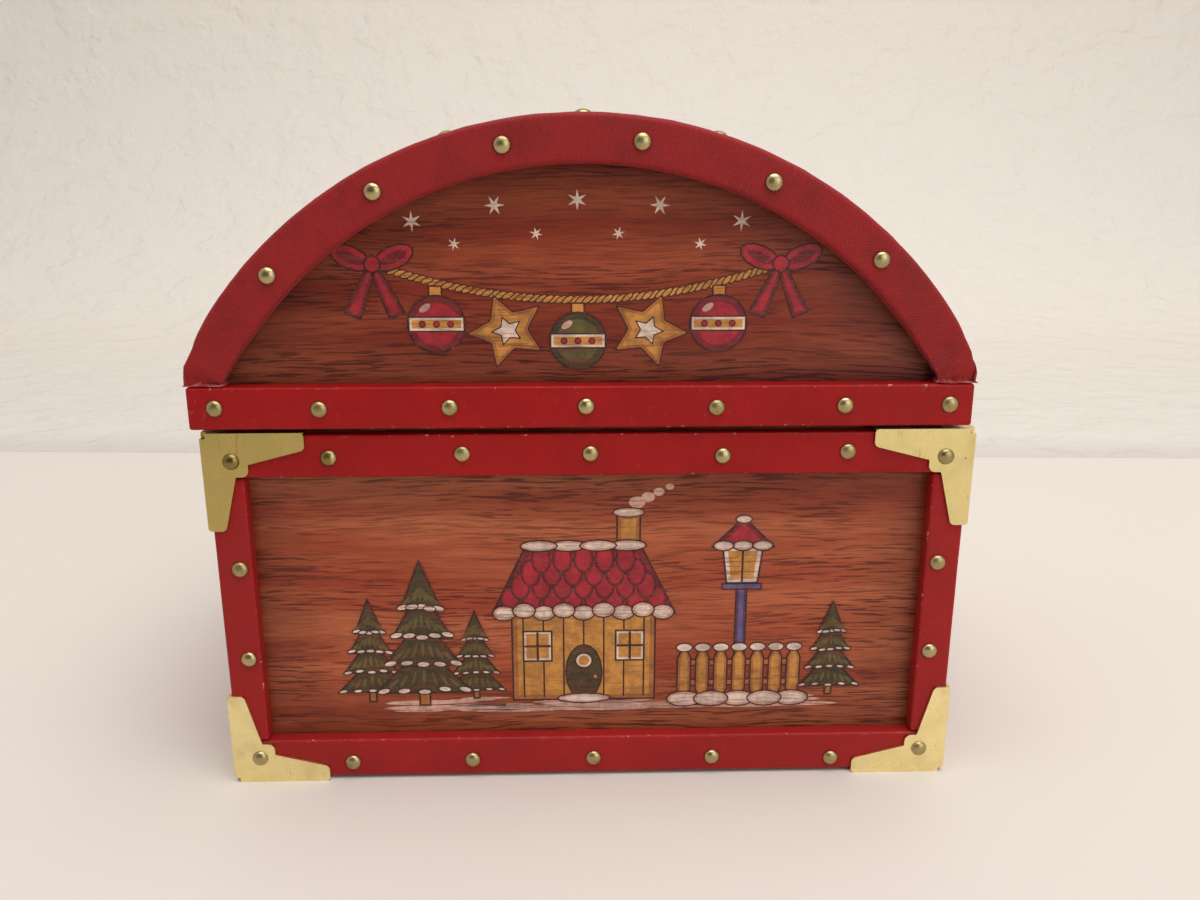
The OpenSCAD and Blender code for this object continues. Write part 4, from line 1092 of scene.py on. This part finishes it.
def draw_star(stamp, share):
    """A star with rounded points, ring in ring."""
    x, z, slope = hang(share)
    rings = (("outline", 1.05), ("amber", 0.98), ("gold", 0.8), ("outline", 0.42), ("cream", 0.35))
    for i, (name, size) in enumerate(rings):
        star = stamp(10, 17.5, 17, name, notch=0.5, rounding=0.5)
        star(x, z - 8, 4 + i, 3 * slope, size)


def draw_bow(stamp, side):
    """A bow at an end of the cord."""
    x, z, _ = hang(side)
    tail = stamp(4, 4.2, 12, RED, 0.4, 0.6, top=0.55)
    loop = stamp(12, 10, 5.4, "outline crimson wine", 0.4, 1.1)
    knot = stamp(10, 4, 4.2, "outline crimson")
    for turn in (-24, 24):
        tail(x - turn / 9, z - 6.2, 5, turn)
        loop(x + turn / 5, z + 1.5, 6, -turn)
    knot(x, z, 7)


def draw_flakes(stamp):
    """Snowflakes over the cord, every other one low and small."""
    flake = stamp(12, 4.6, 4.6, "cream", notch=0.32)
    for i in range(-4, 5):
        x, z, slope = hang(i / 5)
        height = 142 - 0.9 * (z - CORD_LOW) - 7 * (i % 2)
        flake(x, height, 0, 4 * slope, 1 - 0.35 * (i % 2))


class LidPicture(bpy.types.Operator):
    """Print on the lid's front: a slack cord with baubles, stars and bows, under snowflakes"""

    bl_idname = "music_box.lid_picture"
    bl_label = "Lid picture"

    BAUBLES = ((-0.7, RED), (0, "outline olive leaf"), (0.7, RED))

    def execute(self, context):
        picture = Picture("lid_front_panel")
        draw_cord(picture.stamp)
        for share, inks in self.BAUBLES:
            draw_bauble(picture.stamp, share, inks)
        for side in (-1, 1):
            draw_star(picture.stamp, 0.35 * side)
            draw_bow(picture.stamp, side)
        draw_flakes(picture.stamp)
        picture.finish("printed_lid_picture")
        return {"FINISHED"}


class FeltPads(bpy.types.Operator):
    """Felt under the chest and in the keepsake space"""

    bl_idname = "music_box.felt_pads"
    bl_label = "Felt pads"

    CUTS, HOLLOW = 40, 4 * MM

    def execute(self, context):
        for node in ("base_felt", "keepsake_lining"):
            low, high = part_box(node)
            obj = bar(low, high)
            with edit_mode(obj):
                bpy.ops.mesh.subdivide(number_cuts=self.CUTS)
            round_edges(obj, sizes().felt_round, 2)
            uneven(obj, sizes().felt_pile, self.HOLLOW)
            smooth(obj)
            dress(obj, "soft_" + node, node, material(felt_finish, "Felt"))
        return {"FINISHED"}


class Hinges(bpy.types.Operator):
    """Hinge leaves, their pins and screws"""

    bl_idname = "music_box.hinges"
    bl_label = "Hinges"

    BRASS = ["hinge_base_leaves", "hinge_lid_leaves", "hinge_base_screws", "hinge_lid_screws"]

    def execute(self, context):
        for node in self.BRASS:
            dress_copy(node, "metal_", stamped_brass(), sizes().metal_round, painted_light_marks=True)
        dress_copy("hinge_pins", "metal_", bright_steel(), sizes().metal_round)
        return {"FINISHED"}


class Movement(bpy.types.Operator):
    """Wind-up movement, its key and the clear cover"""

    bl_idname = "music_box.movement"
    bl_label = "Movement"

    BRASS = ["drive_wheel", "winding_key", "music_cylinder", "cylinder_wheel", "governor_wheel", "stop_wire",
             "stop_guides"]
    STEEL = ["movement_screws", "spring_housing", "spring_cover", "mainspring", "winding_arbor",
             "cylinder_arbor", "tuned_comb", "governor_worm", "governor_bridge"]
    SHARP = ["music_cylinder", "mainspring", "governor_worm"]

    def execute(self, context):
        c = colours()
        brass = material(metal_finish, "Worked brass", c.worked_brass, 0.2, 0.36, 0.5)
        cast = material(metal_finish, "Cast metal", c.cast_metal, 0.45, 0.65, 0.1, 1500)
        black = material(black_plastic, "Black plastic")
        clear = material(clear_plastic, "Clear acrylic")
        pieces = [(node, "brass", brass) for node in self.BRASS]
        pieces += [(node, "steel", bright_steel()) for node in self.STEEL]
        pieces += [("movement_bedplate", "cast_metal", cast), ("governor_fly", "black_plastic", black)]
        for node, slot, finish in pieces:
            radius = 0 if node in self.SHARP else sizes().metal_round
            dress_copy(node, "worked_", finish, radius)
        dress_copy("movement_cover", "worked_", clear, sizes().cover_round)
        return {"FINISHED"}


TABLE = 8
WALL_FRONT, WALL_BACK, WALL_TOP, WALL_WIDE, WALL_SWEEP = 0.246, 1.1, 2.4, 5, 0.45
WALL_TURN = math.radians(-2.76)
LAMPS = (("ceiling", (0.15, -0.3, 1.3), 1.2, 15), ("fill", (0.7, -1.1, 0.5), 0.9, 5))
LAMP_AIM = (0, 0, 0.07)
CAMERA_AT = (-4.2 * MM, -284.1 * MM, 146.4 * MM)
CAMERA_TURN = (math.radians(90 - 15.15), 0, math.radians(-1.57))


def table_finish(f):
    """A smooth table top, a little darker towards the camera as painted shade of the light falling off."""
    c = colours().floor
    cloudy = f.mix(f.noise(f.at, 6, 3), scaled(c, 0.97), c)
    # Painted shade: darker towards the camera.
    f.set(base_color=f.shade(cloudy, f.band(f.parts(f.at)[1], -0.2, 0.26, 0.9, 1)))
    f.set(roughness=0.55, specular_ior_level=0.3)


def plaster(f):
    """Trowelled plaster, with painted shade where it lies on the table and a painted contact shadow at its
    front edge.
    """
    back_to = f.parts(f.stretch(f.at, 1, 1, 1, turn=(0, 0, -WALL_TURN)))[1]
    # Painted shade: darker where the sheet lies flat and would take more of the overhead light than the wall.
    lying_painted_shade = f.band(back_to, 0.27, 0.85, 0.82, 1)
    # Painted contact shadow along the front edge, where the wall meets the table.
    edge = f.band(back_to, WALL_FRONT, WALL_FRONT + 0.054, 0.87, 1)
    f.set(base_color=f.shade(colours().wall, f.times(lying_painted_shade, edge)))
    f.set(roughness=0.85, specular_ior_level=0.2)
    trowelled = f.band(f.noise(f.at, 22, 4, 0.55), 0.42, 0.62)
    f.bump(f.plus(trowelled, f.noise(f.at, 70, 3, 0.5)), 1.5 * MM)


def wall_sweep():
    """A sheet that lies on the table behind the box, then curves up."""
    bpy.ops.mesh.primitive_plane_add(size=1, location=(0, (WALL_FRONT + WALL_BACK) / 2, 0.05 * MM))
    obj = settle(bpy.context.object, (WALL_WIDE, WALL_BACK - WALL_FRONT, 1))

    def is_far(edge):
        return all(obj.data.vertices[i].co.y > WALL_BACK - MM for i in edge.vertices)

    with edit_mode(obj, "edges", is_far):
        bpy.ops.mesh.extrude_region_move(TRANSFORM_OT_translate={"value": (0, 0, WALL_TOP)})
    round_edges(obj, WALL_SWEEP, 24)
    smooth(obj)
    obj.data.transform(Matrix.Rotation(WALL_TURN, 4, "Z"))
    return obj


def light_room(scene):
    """A room that is dim behind the camera, a wide lamp above and a weak one in front, to the right."""
    scene.world = bpy.data.worlds.new("Room light")
    scene.world.use_nodes = True
    room = Nodes(scene.world.node_tree)
    background = room.tree.nodes["Background"]
    towards_back = room.parts(room.place("Generated"))[1]
    room.put(background, "Strength", room.band(towards_back, -0.95, -0.3, 0.08, 0.76))
    room.put(background, "Color", (1, 1, 1))
    for name, place, size, power in LAMPS:
        lamp = bpy.data.lights.new("Lamp " + name, "AREA")
        lamp.size = size
        lamp.energy = power
        obj = bpy.data.objects.new("Lamp " + name, lamp)
        obj.location = place
        obj.rotation_euler = (Vector(LAMP_AIM) - Vector(place)).to_track_quat("-Z", "Y").to_euler()
        scene.collection.objects.link(obj)


def place_camera(scene):
    lens = bpy.data.cameras.new("Photo camera")
    lens.lens = 30
    lens.sensor_width = 36
    lens.clip_start = 10 * MM
    obj = bpy.data.objects.new("Photo camera", lens)
    obj.location = CAMERA_AT
    obj.rotation_euler = CAMERA_TURN
    scene.collection.objects.link(obj)
    scene.camera = obj


class Stage(bpy.types.Operator):
    """Table, wall, lamps and the camera"""

    bl_idname = "music_box.stage"
    bl_label = "Stage"

    def execute(self, context):
        bpy.ops.mesh.primitive_plane_add(size=TABLE, location=(0, 0, 0))
        self.set_up(bpy.context.object, "stage_floor", material(table_finish, "Stage floor"))
        self.set_up(wall_sweep(), "stage_wall", material(plaster, "Stage wall"))
        light_room(context.scene)
        place_camera(context.scene)
        context.scene.view_settings.view_transform = "Standard"
        return {"FINISHED"}

    @staticmethod
    def set_up(obj, name, finish):
        obj.name = name
        obj.data.materials.append(finish)


class MusicBoxPanel(bpy.types.Panel):
    """Lists the music box's pieces in the sidebar"""

    bl_idname = "VIEW3D_PT_music_box"
    bl_label = "Music box"
    bl_space_type = "VIEW_3D"
    bl_region_type = "UI"
    bl_category = "Music box"

    def draw(self, context):
        for piece in PIECES:
            self.layout.operator(piece.bl_idname)
        for group in (sizes(), colours()):
            for name in group.__annotations__:
                self.layout.prop(group, name)


PIECES = [PaintedStrips, VeneerPanels, ClothArches, ClothBands, BrassCorners, DomeNails, ChestPicture,
          LidPicture, FeltPads, Hinges, Movement, Stage]
CLASSES = [MusicBoxSizes, MusicBoxColours, *PIECES, MusicBoxPanel]


def register():
    for each in CLASSES:
        bpy.utils.register_class(each)
    bpy.types.Scene.music_box_sizes = PointerProperty(type=MusicBoxSizes)
    bpy.types.Scene.music_box_colours = PointerProperty(type=MusicBoxColours)


def unregister():
    del bpy.types.Scene.music_box_colours
    del bpy.types.Scene.music_box_sizes
    for each in reversed(CLASSES):
        bpy.utils.unregister_class(each)


def main():
    register()
    bpy.ops.object.select_all(action="DESELECT")
    for piece in PIECES:
        group, name = piece.bl_idname.split(".")
        getattr(getattr(bpy.ops, group), name)()


if __name__ == "__main__":
    main()
